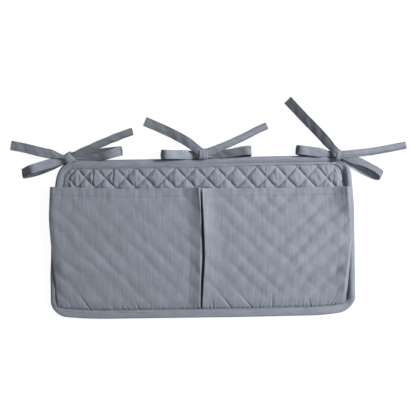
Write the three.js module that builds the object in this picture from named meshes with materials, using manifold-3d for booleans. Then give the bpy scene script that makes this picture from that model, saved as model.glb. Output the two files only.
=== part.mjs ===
// Crib pocket organizer: a quilted, bound panel with two pleated pockets and three bow ties.
// It lies on its back. +X runs across the panel, +Y towards the tied edge, +Z up out of the pockets.
// The origin is under the middle of the panel, on the surface that it lies on. Millimetres.

import * as THREE from "three";
import { mergeVertices } from "three/addons/utils/BufferGeometryUtils.js";
import Module from "manifold-3d";

const wasm = await Module();
wasm.setup();

// Space left between two layers of cloth, or between a piece and what it is sewn to
const CLEARANCE = 0.3;

// Quilted panel
const PANEL_WIDTH = 550;
const PANEL_HEIGHT = 285;
const TOP_CORNER_RADIUS = 36;
const BOTTOM_CORNER_RADIUS = 28;
const LINING_CLOTH = 0.5;
const BATTING_LOFT = 2.5;
const FACE_CLOTH = 0.8;

// Diamond quilting: height of a puff, diagonal of a diamond, place of one crossing of the stitching
const QUILT_PUFF = 3;
const QUILT_DIAMOND = 36.6;
const QUILT_CROSSING_X = 7.4;
const QUILT_CROSSING_BELOW_TOP = 34.8;

// Distance over which the puffs die out towards a seam
const QUILT_TAPER = 18;

// Edge binding: width on each side of the panel, thickness of its cloth, bevel of its outer fold
const BINDING_WIDTH = 15;
const BINDING_CLOTH = 0.8;
const BINDING_BEVEL = 0.5;

// Pockets: height of the mouth over the panel's lower edge, room inside, climb of the front from its seam
const POCKET_CLOTH = 0.6;
const POCKET_HEIGHT = 234;
const POCKET_ROOM = 8;
const POCKET_CLIMB = 20;
const FRONT_TOP_SETBACK = 4;
const FRONT_BOTTOM_SETBACK = 14.5;
const CENTRE_GAP = 4.5;
const HEM_WIDTH = 15;
const HEM_SIDE_MARGIN = 16;
const PLEAT_DEPTH = 28;
const PLEAT_START = 12;
const DIVIDER_WIDTH = 8;

// Ties: width of the strap, its width where it is bunched at the knot, thickness of the folded strap
const TIE_WIDTH = 16.5;
const TIE_NECK = 9;
const TIE_CLOTH = 1.4;
const TIE_SPREAD = 26;
const KNOT_RADIUS = 9.5;
const KNOT_HEIGHT = 13;
const KNOT_BEVEL = 3;

// Bow loops: height over the knot's foot, droop towards the far end, how far the two layers part
const LOOP_RISE = 5.8;
const LOOP_DROOP = 8.1;
const LOOP_OPENING = 4.6;

// Tails: depth under the knot's top at which one leaves it, share of its length before it starts to roll
const TAIL_BELOW_KNOT_TOP = 3.2;
const TAIL_FLAT_SHARE = 0.3;

// Distances of the ties from the panel's sides and middle, and of their knots above the edge
const LEFT_TIE_INSET = 35;
const RIGHT_TIE_INSET = 28;
const CENTRE_TIE_SHIFT = 3;
const SIDE_KNOT_RISE = 4.5;
const CENTRE_KNOT_RISE = 8.5;

// Facets of the curved pieces
const CORNER_STEPS = 6;
const SHARPEST_CORNER = 0.5;
const CLIMB_STEPS = 5;
const KNOT_SIDES = 16;
const LOOP_STEPS = 18;
const TAIL_STEPS = 9;

// Step along a loop for its heading, and distance within which two corners of a mesh are one
const HEADING_STEP = 0.01;
const MERGE_DISTANCE = 1e-4;

// Layers of the panel, from the surface up
const LINING_BOTTOM = BINDING_CLOTH + CLEARANCE;
const LINING_TOP = LINING_BOTTOM + LINING_CLOTH;
const BATTING_BOTTOM = LINING_TOP + CLEARANCE;
const BATTING_TOP = BATTING_BOTTOM + BATTING_LOFT;
const FACE_BOTTOM = BATTING_TOP + CLEARANCE;
const FACE_TOP = FACE_BOTTOM + FACE_CLOTH;
const CROWN_TOP = FACE_TOP + QUILT_PUFF;
const POCKET_SEAM_BOTTOM = FACE_TOP + CLEARANCE;
const POCKET_SEAM_TOP = POCKET_SEAM_BOTTOM + POCKET_CLOTH;
const FLAP_BOTTOM = POCKET_SEAM_TOP + CLEARANCE;
const FLAP_TOP = FLAP_BOTTOM + BINDING_CLOTH;
const FRONT_BOTTOM = CROWN_TOP + POCKET_ROOM;
const HEM_TOP = FRONT_BOTTOM - CLEARANCE;
const KNOT_BOTTOM = FLAP_TOP + CLEARANCE;
const KNOT_TOP = KNOT_BOTTOM + KNOT_HEIGHT;
const LOOP_KNOT_HEIGHT = KNOT_BOTTOM + LOOP_RISE;
const TAIL_KNOT_HEIGHT = KNOT_TOP - TAIL_BELOW_KNOT_TOP;

// Places across the panel
const PANEL_SIDE = PANEL_WIDTH / 2;
const PANEL_TOP = PANEL_HEIGHT / 2;
const PANEL_FOOT = -PANEL_HEIGHT / 2;
const LAYER_INSET = BINDING_CLOTH + CLEARANCE;
const SEAM_INSET = BINDING_WIDTH + CLEARANCE;
const POCKET_FOOT = PANEL_FOOT + SEAM_INSET;
const POCKET_MOUTH = PANEL_FOOT + POCKET_HEIGHT;
const FRONT_CORNER_TOP = PANEL_FOOT + Math.max(BOTTOM_CORNER_RADIUS, SEAM_INSET + PLEAT_START);
const DIVIDER_SIDE = DIVIDER_WIDTH / 2;
const PLEAT_STATIONS = inOrder([POCKET_FOOT + PLEAT_START, POCKET_FOOT + POCKET_CLIMB, POCKET_MOUTH]);

// Colours of the cloth and the wadding
const FABRIC = new THREE.MeshStandardMaterial({ color: 0x8a909c, roughness: 0.92, metalness: 0 });
const LINING_FABRIC = new THREE.MeshStandardMaterial({ color: 0x90969f, roughness: 0.92, metalness: 0 });
const WADDING = new THREE.MeshStandardMaterial({ color: 0xe9e6df, roughness: 1, metalness: 0 });

// Places from the lowest to the highest, each once
function inOrder(places) {
  return [...new Set(places)].sort((a, b) => a - b);
}

const CORNERS = [
  { x: 1, y: 1, radius: TOP_CORNER_RADIUS, quarter: 0 },
  { x: -1, y: 1, radius: TOP_CORNER_RADIUS, quarter: 1 },
  { x: -1, y: -1, radius: BOTTOM_CORNER_RADIUS, quarter: 2 },
  { x: 1, y: -1, radius: BOTTOM_CORNER_RADIUS, quarter: 3 },
];

// The panel's outline drawn in by an inset, with the same points in the same order for every inset
function outline(inset) {
  const points = [];
  for (const corner of CORNERS) {
    const radius = Math.max(corner.radius - inset, SHARPEST_CORNER);
    const centreX = corner.x * (PANEL_SIDE - inset - radius);
    const centreY = corner.y * (PANEL_TOP - inset - radius);
    for (let step = 0; step <= CORNER_STEPS; step += 1) {
      const angle = (corner.quarter + step / CORNER_STEPS) * (Math.PI / 2);
      points.push(new THREE.Vector2(centreX + radius * Math.cos(angle), centreY + radius * Math.sin(angle)));
    }
  }
  return points;
}

// Height in Y of the panel's tied edge at a place across it
function topEdge(x) {
  const past = Math.max(Math.abs(x) - (PANEL_SIDE - TOP_CORNER_RADIUS), 0);
  return PANEL_TOP - TOP_CORNER_RADIUS + Math.sqrt(TOP_CORNER_RADIUS ** 2 - past ** 2);
}

// Six times the volume inside a closed mesh, negative if its faces point inwards
function signedVolume(positions, index) {
  const corner = (i) => new THREE.Vector3().fromArray(positions, 3 * i);
  let total = 0;
  for (let i = 0; i < index.length; i += 3) {
    total += corner(index[i]).dot(corner(index[i + 1]).cross(corner(index[i + 2])));
  }
  return total;
}

function closedGeometry(points, index) {
  const positions = points.flatMap((p) => [p.x, p.y, p.z]);
  const facing = signedVolume(positions, index) < 0 ? index.reverse() : index;
  const geometry = new THREE.BufferGeometry();
  geometry.setAttribute("position", new THREE.Float32BufferAttribute(positions, 3));
  geometry.setIndex(facing);
  return geometry;
}

// Triangles that fill a flat loop of points
function fill(loop) {
  const normal = new THREE.Vector3();
  loop.forEach((p, i) => {
    const q = loop[(i + 1) % loop.length];
    normal.add(new THREE.Vector3().crossVectors(p, q));
  });
  const across = new THREE.Vector3().subVectors(loop[1], loop[0]).normalize();
  const up = new THREE.Vector3().crossVectors(normal.normalize(), across);
  const flat = loop.map((p) => new THREE.Vector2(p.dot(across), p.dot(up)));
  return THREE.ShapeUtils.triangulateShape(flat, []);
}

// A closed body through a row of loops with equal numbers of points, or right round if it is a ring
function loft(sections, ring = false) {
  const count = sections[0].length;
  const spans = ring ? sections.length : sections.length - 1;
  const index = [];
  for (let s = 0; s < spans; s += 1) {
    const here = s * count;
    const there = ((s + 1) % sections.length) * count;
    for (let k = 0; k < count; k += 1) {
      const next = (k + 1) % count;
      index.push(here + k, here + next, there + next, here + k, there + next, there + k);
    }
  }
  if (!ring) {
    const last = (sections.length - 1) * count;
    for (const [a, b, c] of fill(sections[0])) {
      index.push(c, b, a);
      index.push(last + a, last + b, last + c);
    }
  }
  return closedGeometry(sections.flat(), index);
}

// A body over the panel's outline, through a list of [inset, height]
function layered(levels) {
  return loft(levels.map(([inset, z]) => outline(inset).map((p) => new THREE.Vector3(p.x, p.y, z))));
}

function box(low, high) {
  const geometry = new THREE.BoxGeometry(high.x - low.x, high.y - low.y, high.z - low.z);
  const middle = new THREE.Vector3().addVectors(low, high).multiplyScalar(0.5);
  return geometry.translate(middle.x, middle.y, middle.z);
}

function toSolid(geometry) {
  const bare = geometry.clone();
  bare.deleteAttribute("normal");
  bare.deleteAttribute("uv");
  const merged = mergeVertices(bare, MERGE_DISTANCE);
  return new wasm.Manifold(
    new wasm.Mesh({
      numProp: 3,
      vertProperties: new Float32Array(merged.getAttribute("position").array),
      triVerts: new Uint32Array(merged.getIndex().array),
    }),
  );
}

function toGeometry(solid) {
  const mesh = solid.getMesh();
  const geometry = new THREE.BufferGeometry();
  geometry.setAttribute("position", new THREE.Float32BufferAttribute(mesh.vertProperties, 3));
  geometry.setIndex(Array.from(mesh.triVerts));
  return geometry;
}

// Panel

function backLining() {
  return layered([[LAYER_INSET, LINING_BOTTOM], [LAYER_INSET, LINING_TOP]]);
}

function batting() {
  return layered([[LAYER_INSET, BATTING_BOTTOM], [LAYER_INSET, BATTING_TOP]]);
}

// A field of four-sided puffs between the crossing lines of stitching
function quiltPuffs() {
  const half = QUILT_DIAMOND / 2;
  const originY = PANEL_TOP - QUILT_CROSSING_BELOW_TOP;
  const firstColumn = Math.floor((-PANEL_SIDE - QUILT_CROSSING_X) / half);
  const lastColumn = Math.ceil((PANEL_SIDE - QUILT_CROSSING_X) / half);
  const firstRow = Math.floor((PANEL_FOOT - originY) / half);
  const lastRow = Math.ceil((PANEL_TOP - originY) / half);
  const columns = lastColumn - firstColumn + 1;
  const rows = lastRow - firstRow + 1;
  const points = [];
  const index = [];
  const isCrossing = (column, row) => (firstColumn + column + firstRow + row) % 2 === 0;
  for (let row = 0; row < rows; row += 1) {
    for (let column = 0; column < columns; column += 1) {
      const x = QUILT_CROSSING_X + (firstColumn + column) * half;
      const y = originY + (firstRow + row) * half;
      points.push(new THREE.Vector3(x, y, isCrossing(column, row) ? FACE_TOP : CROWN_TOP));
    }
  }
  for (let row = 0; row < rows - 1; row += 1) {
    for (let column = 0; column < columns - 1; column += 1) {
      const a = row * columns + column;
      const b = a + 1;
      const c = b + columns;
      const d = a + columns;
      if (isCrossing(column, row)) {
        index.push(a, b, c, a, c, d);
      } else {
        index.push(a, b, d, b, c, d);
      }
    }
  }
  const rim = [];
  for (let column = 0; column < columns; column += 1) {
    rim.push(column);
  }
  for (let row = 1; row < rows; row += 1) {
    rim.push(row * columns + columns - 1);
  }
  for (let column = columns - 2; column >= 0; column -= 1) {
    rim.push((rows - 1) * columns + column);
  }
  for (let row = rows - 2; row > 0; row -= 1) {
    rim.push(row * columns);
  }
  const base = points.length;
  const foot = rim.map((i) => new THREE.Vector3(points[i].x, points[i].y, FACE_BOTTOM));
  rim.forEach((top, i) => {
    const next = (i + 1) % rim.length;
    index.push(base + i, base + next, rim[next], base + i, rim[next], top);
  });
  for (const [a, b, c] of fill(foot)) {
    index.push(base + c, base + b, base + a);
  }
  return closedGeometry(points.concat(foot), index);
}

// The puffs flatten towards the binding, and along the middle where the pockets are sewn down
function quiltFace() {
  const cloth = layered([[LAYER_INSET, FACE_BOTTOM], [LAYER_INSET, FACE_TOP]]);
  const drawnIn = layered([
    [SEAM_INSET, FACE_BOTTOM],
    [SEAM_INSET, FACE_TOP],
    [SEAM_INSET + QUILT_TAPER, CROWN_TOP],
  ]);
  const grooveHeight = CROWN_TOP + CLEARANCE;
  const grooveFoot = DIVIDER_SIDE + CLEARANCE;
  const grooveSide = grooveFoot + (QUILT_TAPER * (grooveHeight - FACE_TOP)) / QUILT_PUFF;
  const groove = loft([PANEL_FOOT, POCKET_MOUTH].map((y) => [
    new THREE.Vector3(-grooveFoot, y, FACE_TOP),
    new THREE.Vector3(grooveFoot, y, FACE_TOP),
    new THREE.Vector3(grooveSide, y, grooveHeight),
    new THREE.Vector3(-grooveSide, y, grooveHeight),
  ]));
  const puffs = toSolid(quiltPuffs()).intersect(toSolid(drawnIn)).subtract(toSolid(groove));
  return toGeometry(puffs.add(toSolid(cloth)));
}

// One strip folded round the panel's edge, open towards the panel
function edgeBinding() {
  const section = [
    [BINDING_WIDTH, 0],
    [BINDING_BEVEL, 0],
    [0, BINDING_BEVEL],
    [0, FLAP_TOP - BINDING_BEVEL],
    [BINDING_BEVEL, FLAP_TOP],
    [BINDING_WIDTH, FLAP_TOP],
    [BINDING_WIDTH, FLAP_BOTTOM],
    [BINDING_CLOTH, FLAP_BOTTOM],
    [BINDING_CLOTH, BINDING_CLOTH],
    [BINDING_WIDTH, BINDING_CLOTH],
  ];
  const rails = section.map(([inset, z]) => outline(inset).map((p) => new THREE.Vector3(p.x, p.y, z)));
  const stations = rails[0].map((_, i) => rails.map((rail) => rail[i]));
  return loft(stations, true);
}

// Pockets

// The raw edge of the pocket cloth, under the binding's front along both sides and the foot
function pocketSeamAllowance() {
  const lowerHalf = (inset) => outline(inset).filter((p) => p.y < 0);
  const outer = lowerHalf(LAYER_INSET);
  const inner = lowerHalf(BINDING_WIDTH);
  const mouth = (points, x) => new THREE.Vector2(x * Math.abs(points[0].x), POCKET_MOUTH);
  const shape = new THREE.Shape([
    mouth(outer, -1),
    ...outer,
    mouth(outer, 1),
    mouth(inner, 1),
    ...inner.slice().reverse(),
    mouth(inner, -1),
  ]);
  const geometry = new THREE.ExtrudeGeometry(shape, { depth: POCKET_CLOTH, bevelEnabled: false });
  return geometry.translate(0, 0, POCKET_SEAM_BOTTOM);
}

function pocketDivider() {
  return box(
    new THREE.Vector3(-DIVIDER_SIDE, POCKET_FOOT + PLEAT_START, POCKET_SEAM_BOTTOM),
    new THREE.Vector3(DIVIDER_SIDE, POCKET_MOUTH, POCKET_SEAM_TOP),
  );
}

// Height of the pocket front's inner face: it climbs from the seam, then runs level to the mouth
function frontInside(y) {
  const climbed = Math.min((y - POCKET_FOOT) / POCKET_CLIMB, 1);
  return POCKET_SEAM_BOTTOM + (FRONT_BOTTOM - POCKET_SEAM_BOTTOM) * Math.sin(climbed * (Math.PI / 2));
}

// Distance of the pocket front's outer side from the panel's middle
function frontSide(y) {
  const corner = PANEL_SIDE - Math.max(BOTTOM_CORNER_RADIUS, SEAM_INSET);
  const low = PANEL_SIDE - FRONT_BOTTOM_SETBACK;
  const high = PANEL_SIDE - FRONT_TOP_SETBACK;
  if (y < FRONT_CORNER_TOP) {
    return THREE.MathUtils.mapLinear(y, POCKET_FOOT, FRONT_CORNER_TOP, corner, low);
  }
  return THREE.MathUtils.mapLinear(y, FRONT_CORNER_TOP, POCKET_MOUTH, low, high);
}

function pocketFront(side) {
  const places = [FRONT_CORNER_TOP, POCKET_MOUTH];
  for (let step = 0; step <= CLIMB_STEPS; step += 1) {
    places.push(POCKET_FOOT + (POCKET_CLIMB * step) / CLIMB_STEPS);
  }
  const slope = (y) => {
    const climbed = Math.min((y - POCKET_FOOT) / POCKET_CLIMB, 1);
    const steepest = ((FRONT_BOTTOM - POCKET_SEAM_BOTTOM) * Math.PI) / (2 * POCKET_CLIMB);
    return steepest * Math.cos(climbed * (Math.PI / 2));
  };
  return loft(inOrder(places).map((y) => {
    const inside = frontInside(y);
    const outside = inside + POCKET_CLOTH * Math.hypot(1, slope(y));
    const outer = side * frontSide(y);
    const inner = (side * CENTRE_GAP) / 2;
    return [
      new THREE.Vector3(inner, y, inside),
      new THREE.Vector3(outer, y, inside),
      new THREE.Vector3(outer, y, outside),
      new THREE.Vector3(inner, y, outside),
    ];
  }));
}

// The hem's turned layer, inside the front and clear of the pleats at both ends
function pocketHem(side) {
  const ends = [
    side * (CENTRE_GAP / 2 + HEM_SIDE_MARGIN),
    side * (frontSide(POCKET_MOUTH - HEM_WIDTH) - HEM_SIDE_MARGIN),
  ];
  return box(
    new THREE.Vector3(Math.min(...ends), POCKET_MOUTH - HEM_WIDTH, HEM_TOP - POCKET_CLOTH),
    new THREE.Vector3(Math.max(...ends), POCKET_MOUTH, HEM_TOP),
  );
}

// A V of cloth across one place of a pleat: from the seam in to the fold, and back to the front's edge
function pleatSection(y, seamX, edgeX, foldX) {
  const low = POCKET_SEAM_BOTTOM;
  const high = frontInside(y) - CLEARANCE;
  const middle = (low + high) / 2;
  const lowerSlope = (middle - low) / (foldX - seamX);
  const upperSlope = (high - middle) / (edgeX - foldX);
  const lowerInside = low + POCKET_CLOTH - lowerSlope * seamX;
  const upperInside = high - POCKET_CLOTH - upperSlope * edgeX;
  const notchX = (upperInside - lowerInside) / (lowerSlope - upperSlope);
  const notchZ = lowerInside + lowerSlope * notchX;
  return [
    new THREE.Vector3(seamX, y, low),
    new THREE.Vector3(foldX, y, middle),
    new THREE.Vector3(edgeX, y, high),
    new THREE.Vector3(edgeX, y, high - POCKET_CLOTH),
    new THREE.Vector3(notchX, y, notchZ),
    new THREE.Vector3(seamX, y, low + POCKET_CLOTH),
  ];
}

// Half-width of the panel inside its binding, at a place along the panel
function seamSide(y) {
  const radius = Math.max(BOTTOM_CORNER_RADIUS - SEAM_INSET, SHARPEST_CORNER);
  const below = Math.max(POCKET_FOOT + radius - y, 0);
  return PANEL_SIDE - SEAM_INSET - radius + Math.sqrt(radius ** 2 - below ** 2);
}

function outerPleat(side) {
  return loft(PLEAT_STATIONS.map((y) => {
    const seam = seamSide(y);
    return pleatSection(y, side * seam, side * frontSide(y), side * (seam - PLEAT_DEPTH));
  }));
}

function innerPleat(side) {
  const seam = DIVIDER_SIDE + CLEARANCE;
  return loft(PLEAT_STATIONS.map((y) => (
    pleatSection(y, side * seam, (side * CENTRE_GAP) / 2, side * (seam + PLEAT_DEPTH))
  )));
}

// Ties

// The sewn end of a tie, standing against the binding's outer fold, up to the knot
function tieRoot(x) {
  const nearest = Math.max(Math.abs(x) - TIE_NECK / 2, 0);
  const y = topEdge(nearest) + CLEARANCE;
  return box(
    new THREE.Vector3(x - TIE_NECK / 2, y, CLEARANCE),
    new THREE.Vector3(x + TIE_NECK / 2, y + TIE_CLOTH, FLAP_TOP),
  );
}

function tieKnot() {
  const profile = [
    new THREE.Vector2(0, KNOT_BOTTOM),
    new THREE.Vector2(KNOT_RADIUS - KNOT_BEVEL / 2, KNOT_BOTTOM),
    new THREE.Vector2(KNOT_RADIUS, KNOT_BOTTOM + KNOT_BEVEL),
    new THREE.Vector2(KNOT_RADIUS, KNOT_TOP - KNOT_BEVEL),
    new THREE.Vector2(KNOT_RADIUS - KNOT_BEVEL, KNOT_TOP),
    new THREE.Vector2(0, KNOT_TOP),
  ];
  return new THREE.LatheGeometry(profile, KNOT_SIDES).rotateX(Math.PI / 2);
}

// Width of a strap at a distance from its knot: bunched there, then flat
function strapWidth(distance) {
  return THREE.MathUtils.lerp(TIE_NECK, TIE_WIDTH, THREE.MathUtils.smoothstep(distance, 0, TIE_SPREAD));
}

// A flat strap through a list of stations, each with its place, heading, direction across and width
function strap(stations) {
  return loft(stations.map(({ at, heading, across, width }) => {
    const thickness = new THREE.Vector3().crossVectors(heading, across).setLength(TIE_CLOTH / 2);
    const half = across.clone().setLength(width / 2);
    return [
      at.clone().add(half).add(thickness),
      at.clone().sub(half).add(thickness),
      at.clone().sub(half).sub(thickness),
      at.clone().add(half).sub(thickness),
    ];
  }));
}

// A bow loop: out from the knot over the top, round a narrow end and back underneath, drooping on the way
function tieLoop({ turn, reach }) {
  const angle = THREE.MathUtils.degToRad(turn);
  const direction = new THREE.Vector3(Math.cos(angle), Math.sin(angle), 0);
  const across = new THREE.Vector3(-direction.y, direction.x, 0);
  const start = Math.acos(1 - (2 * (KNOT_RADIUS + CLEARANCE)) / reach);
  const place = (phase) => {
    const out = (reach * (1 - Math.cos(phase))) / 2;
    const middle = LOOP_KNOT_HEIGHT - (LOOP_DROOP * out) / reach;
    const height = middle + LOOP_OPENING * Math.sin(phase) * Math.sin(phase / 2);
    return direction.clone().multiplyScalar(out).setZ(height);
  };
  const stations = [];
  for (let step = 0; step <= LOOP_STEPS; step += 1) {
    const phase = THREE.MathUtils.lerp(start, 2 * Math.PI - start, step / LOOP_STEPS);
    const at = place(phase);
    const isEnd = step === 0 || step === LOOP_STEPS;
    const heading = isEnd
      ? direction.clone().multiplyScalar(step === 0 ? 1 : -1)
      : new THREE.Vector3().subVectors(place(phase + HEADING_STEP), place(phase - HEADING_STEP)).normalize();
    const distance = Math.hypot(at.x, at.y) - KNOT_RADIUS;
    stations.push({ at, heading, across, width: strapWidth(distance) });
  }
  return strap(stations);
}

// The middle line of a tail, from its knot through the chosen points
function tailLine(points) {
  const chosen = points.map((p) => new THREE.Vector3(...p));
  const exit = chosen[0].clone().setZ(0).setLength(KNOT_RADIUS + CLEARANCE).setZ(TAIL_KNOT_HEIGHT);
  return new THREE.CatmullRomCurve3([exit, ...chosen]);
}

// A tail lies flat at the knot and rolls by its tip's tilt, in degrees, towards the free end
function tieTail({ points, tilt }) {
  const line = tailLine(points);
  const length = line.getLength();
  const outwards = new THREE.Vector3(points[0][0], points[0][1], 0).normalize();
  const stations = [];
  for (let step = 0; step <= TAIL_STEPS; step += 1) {
    const share = step / TAIL_STEPS;
    const heading = step === 0 ? outwards : line.getTangentAt(share);
    const roll = THREE.MathUtils.degToRad(tilt) * THREE.MathUtils.smoothstep(share, TAIL_FLAT_SHARE, 1);
    const across = new THREE.Vector3(-heading.y, heading.x, 0).normalize().applyAxisAngle(heading, roll);
    stations.push({ at: line.getPointAt(share), heading, across, width: strapWidth(share * length) });
  }
  return strap(stations);
}

// Loops are given by their turn from +X in degrees and their reach from the knot's middle.
// Tails are given by points from the knot's middle, with heights over the surface, and the tip's tilt.
const TIES = [
  {
    name: "left",
    x: -(PANEL_SIDE - LEFT_TIE_INSET),
    rise: SIDE_KNOT_RISE,
    loops: { left: { turn: 197, reach: 86 }, right: { turn: 8, reach: 96 } },
    tails: {
      left: { points: [[-26, 6.2, 15.8], [-50, 11.4, 8.5], [-82.4, 20, 1.9], [-104.7, 24.5, 1.1]], tilt: 0 },
      right: { points: [[47.9, 20.1, 16], [75.2, 31.9, 11.5], [98, 41, 7], [115.6, 47.2, 6.4]], tilt: 42 },
    },
  },
  {
    name: "centre",
    x: CENTRE_TIE_SHIFT,
    rise: CENTRE_KNOT_RISE,
    loops: { left: { turn: 178, reach: 76 }, right: { turn: 2.5, reach: 85 } },
    tails: {
      left: { points: [[-32.3, 22.5, 13], [-68.2, 42, 4], [-103.9, 58.4, 1.1]], tilt: 0 },
      right: { points: [[40, 14.6, 16], [76.4, 30.1, 10], [98, 40, 6.8], [115.8, 46.4, 6.6]], tilt: 44 },
    },
  },
  {
    name: "right",
    x: PANEL_SIDE - RIGHT_TIE_INSET,
    rise: SIDE_KNOT_RISE,
    loops: { left: { turn: 172, reach: 76 }, right: { turn: -27, reach: 86 } },
    tails: {
      left: { points: [[-32, 37.5, 11.5], [-58.8, 66.9, 5], [-88.4, 99.5, 3.6]], tilt: -18 },
      right: { points: [[48.9, 6.6, 12.5], [85.2, 11, 7.6], [122.7, 15, 6.6]], tilt: 44 },
    },
  },
];

const organizer = new THREE.Group();

function place(parent, name, geometry, material) {
  const mesh = new THREE.Mesh(geometry, material);
  mesh.name = name;
  parent.add(mesh);
}

place(organizer, "back_lining", backLining(), LINING_FABRIC);
place(organizer, "batting", batting(), WADDING);
place(organizer, "quilt_face", quiltFace(), FABRIC);
place(organizer, "edge_binding", edgeBinding(), FABRIC);
place(organizer, "pocket_seam_allowance", pocketSeamAllowance(), FABRIC);
place(organizer, "pocket_divider", pocketDivider(), FABRIC);

for (const [name, side] of [["left", -1], ["right", 1]]) {
  place(organizer, `${name}_pocket_front`, pocketFront(side), FABRIC);
  place(organizer, `${name}_pocket_hem`, pocketHem(side), FABRIC);
  place(organizer, `${name}_outer_pleat`, outerPleat(side), FABRIC);
  place(organizer, `${name}_inner_pleat`, innerPleat(side), FABRIC);
}

for (const tie of TIES) {
  place(organizer, `${tie.name}_tie_root`, tieRoot(tie.x), FABRIC);
  const bow = new THREE.Group();
  bow.position.set(tie.x, topEdge(tie.x) + tie.rise, 0);
  organizer.add(bow);
  place(bow, `${tie.name}_tie_knot`, tieKnot(), FABRIC);
  for (const [side, loop] of Object.entries(tie.loops)) {
    place(bow, `${tie.name}_tie_${side}_loop`, tieLoop(loop), FABRIC);
  }
  for (const [side, tail] of Object.entries(tie.tails)) {
    place(bow, `${tie.name}_tie_${side}_tail`, tieTail(tail), FABRIC);
  }
}

export default organizer;
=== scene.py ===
# Looks of the crib pocket organizer: quilted panel, bound edge, two pleated pockets and three bow ties.
# Sizes and places are in millimetres in the part's own frame, and every mesh is made in metres.

import math
from itertools import accumulate, pairwise

import bmesh
import bpy
from mathutils import Matrix, Vector, noise


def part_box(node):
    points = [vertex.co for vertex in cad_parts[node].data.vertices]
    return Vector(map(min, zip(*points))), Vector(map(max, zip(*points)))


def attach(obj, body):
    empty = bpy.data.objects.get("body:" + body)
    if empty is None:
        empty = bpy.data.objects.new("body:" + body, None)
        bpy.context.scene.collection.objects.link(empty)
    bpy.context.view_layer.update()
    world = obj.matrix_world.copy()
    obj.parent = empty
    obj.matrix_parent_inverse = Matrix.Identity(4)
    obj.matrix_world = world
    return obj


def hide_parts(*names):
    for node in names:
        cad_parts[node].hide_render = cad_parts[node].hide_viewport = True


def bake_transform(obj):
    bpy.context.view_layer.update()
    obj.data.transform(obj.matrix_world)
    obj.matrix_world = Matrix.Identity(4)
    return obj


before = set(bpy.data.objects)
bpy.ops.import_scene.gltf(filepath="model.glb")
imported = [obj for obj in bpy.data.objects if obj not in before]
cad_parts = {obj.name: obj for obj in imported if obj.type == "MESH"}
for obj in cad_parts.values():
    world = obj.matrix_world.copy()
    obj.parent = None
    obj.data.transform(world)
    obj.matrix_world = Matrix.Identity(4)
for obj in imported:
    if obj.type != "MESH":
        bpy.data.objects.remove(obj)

MM = 0.001
UP = Vector((0, 0, 1))
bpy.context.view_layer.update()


def node_box(node):
    """Lowest and highest corner of a node of the frame, in millimetres"""
    low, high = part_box(node)
    return low / MM, high / MM


# Panel, from the frame
PANEL_HIGH = node_box("edge_binding")[1]
PANEL_SIDE = PANEL_HIGH.x
PANEL_TOP = PANEL_HIGH.y
QUILT_LOW = node_box("quilt_face")[0]
BATTING_LOW, BATTING_HIGH = node_box("batting")
LINING_HIGH = node_box("back_lining")[1]
TOP_CORNER = 36
BOTTOM_CORNER = 28

# How far the soft upper corners have slipped inwards as the panel lies
LEFT_SLIP = 13
RIGHT_SLIP = 4.6

# How far the lower corners have drawn up, and from how far out
LEFT_LIFT = 4
RIGHT_LIFT = 6.6
LIFT_START = 200
LIFT_LENGTH = 65

# How far the other edges are drawn out: lower left side, top at both ends and foot
LEFT_SPREAD = 1.8
TOP_SPREAD = (0.1, 2.6)
FOOT_SPREAD = 2.4

# How far the right side rolls up, along its length and at its top, and the left side low down
RIGHT_CURL = (5.4, 6.5)
LEFT_CURL = 0.5

# Diamond quilting: diagonal of a diamond, then a crossing, the turn and the level of its stitching
DIAMOND = 36.6
CROSSING = (7.4, 107.7)
QUILT_TURN = math.radians(0.8)
STITCH_LEVEL = QUILT_LOW.z + 0.8

# Puffs between the stitching: height, how full they are, cells along a side, slack of the cloth, how far it may
# swell, and for how many frames it is let do so
PUFF_HEIGHT = 3.0
PUFF_FULLNESS = 4.6
PUFF_CELLS = 7
PUFF_SLACK = 0.05
PUFF_LIMIT = 2.2
PUFF_FRAMES = 18

# Lining: cells across and up, thickness of its cloth
LINING_CELLS = (180, 94)
LINING_CLOTH = 0.4

# Edge binding: width on each side, thickness of its cloth, cells across it, cells along a corner and a side
BINDING_WIDTH = 15
BINDING_CLOTH = 0.7
BINDING_CELLS = 34
CORNER_STEP = 2.4
SIDE_STEP = 3

# Topstitching of the binding: inset, that at the top's right end, level of the cloth in it, of its thread and of
# the thread on the back, and half its thickness, most where it lies deepest
BINDING_STITCH = 14.2
RIGHT_STITCH = 10.7
GROOVE_LEVEL = 6.1
FRONT_THREAD_LEVEL = 6.25
BACK_THREAD_LEVEL = 0.32
BINDING_THREAD = (0.5, 0.8)

# Pockets, from the frame: seam at the foot, mouth, level of the fronts
FRONT_LOW, FRONT_HIGH = node_box("right_pocket_front")
SEAM_LOW, SEAM_HIGH = node_box("pocket_seam_allowance")
DIVIDER_LOW, DIVIDER_HIGH = node_box("pocket_divider")
FOOT = FRONT_LOW.y
MOUTH = FRONT_HIGH.y
FRONT_LEVEL = FRONT_HIGH.z - 0.3
SEAM_LEVEL = (SEAM_LOW.z + SEAM_HIGH.z) / 2
SEAM_INSET = BINDING_WIDTH + 0.3
PLEAT_SEAM = DIVIDER_HIGH.x + 0.3

# Pocket cloth: thickness, (distance, share of the rise) of its wall, roll and slope above the seam, least
# height, radius of its folds, depth of its pleats, step of its turned hem
POCKET_CLOTH = 0.6
POCKET_WALL = (3.5, 0.25)
POCKET_ROLL = (18, 0.33)
POCKET_SLOPE = (85, 0.42)
FLATTEST = 0.4
FOLD_RADIUS = 0.9
PLEAT_DEPTH = 28
HEM_STEP = 1.3

# Cells of the pocket cloth across a front, a pleat's leg and a fold, of the divider across and up, and steps
# along the stitching of a hem
FRONT_CELLS = 280
LEG_CELLS = 18
FOLD_CELLS = 6
DIVIDER_CELLS = (8, 60)
HEM_STEPS = 180

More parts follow.
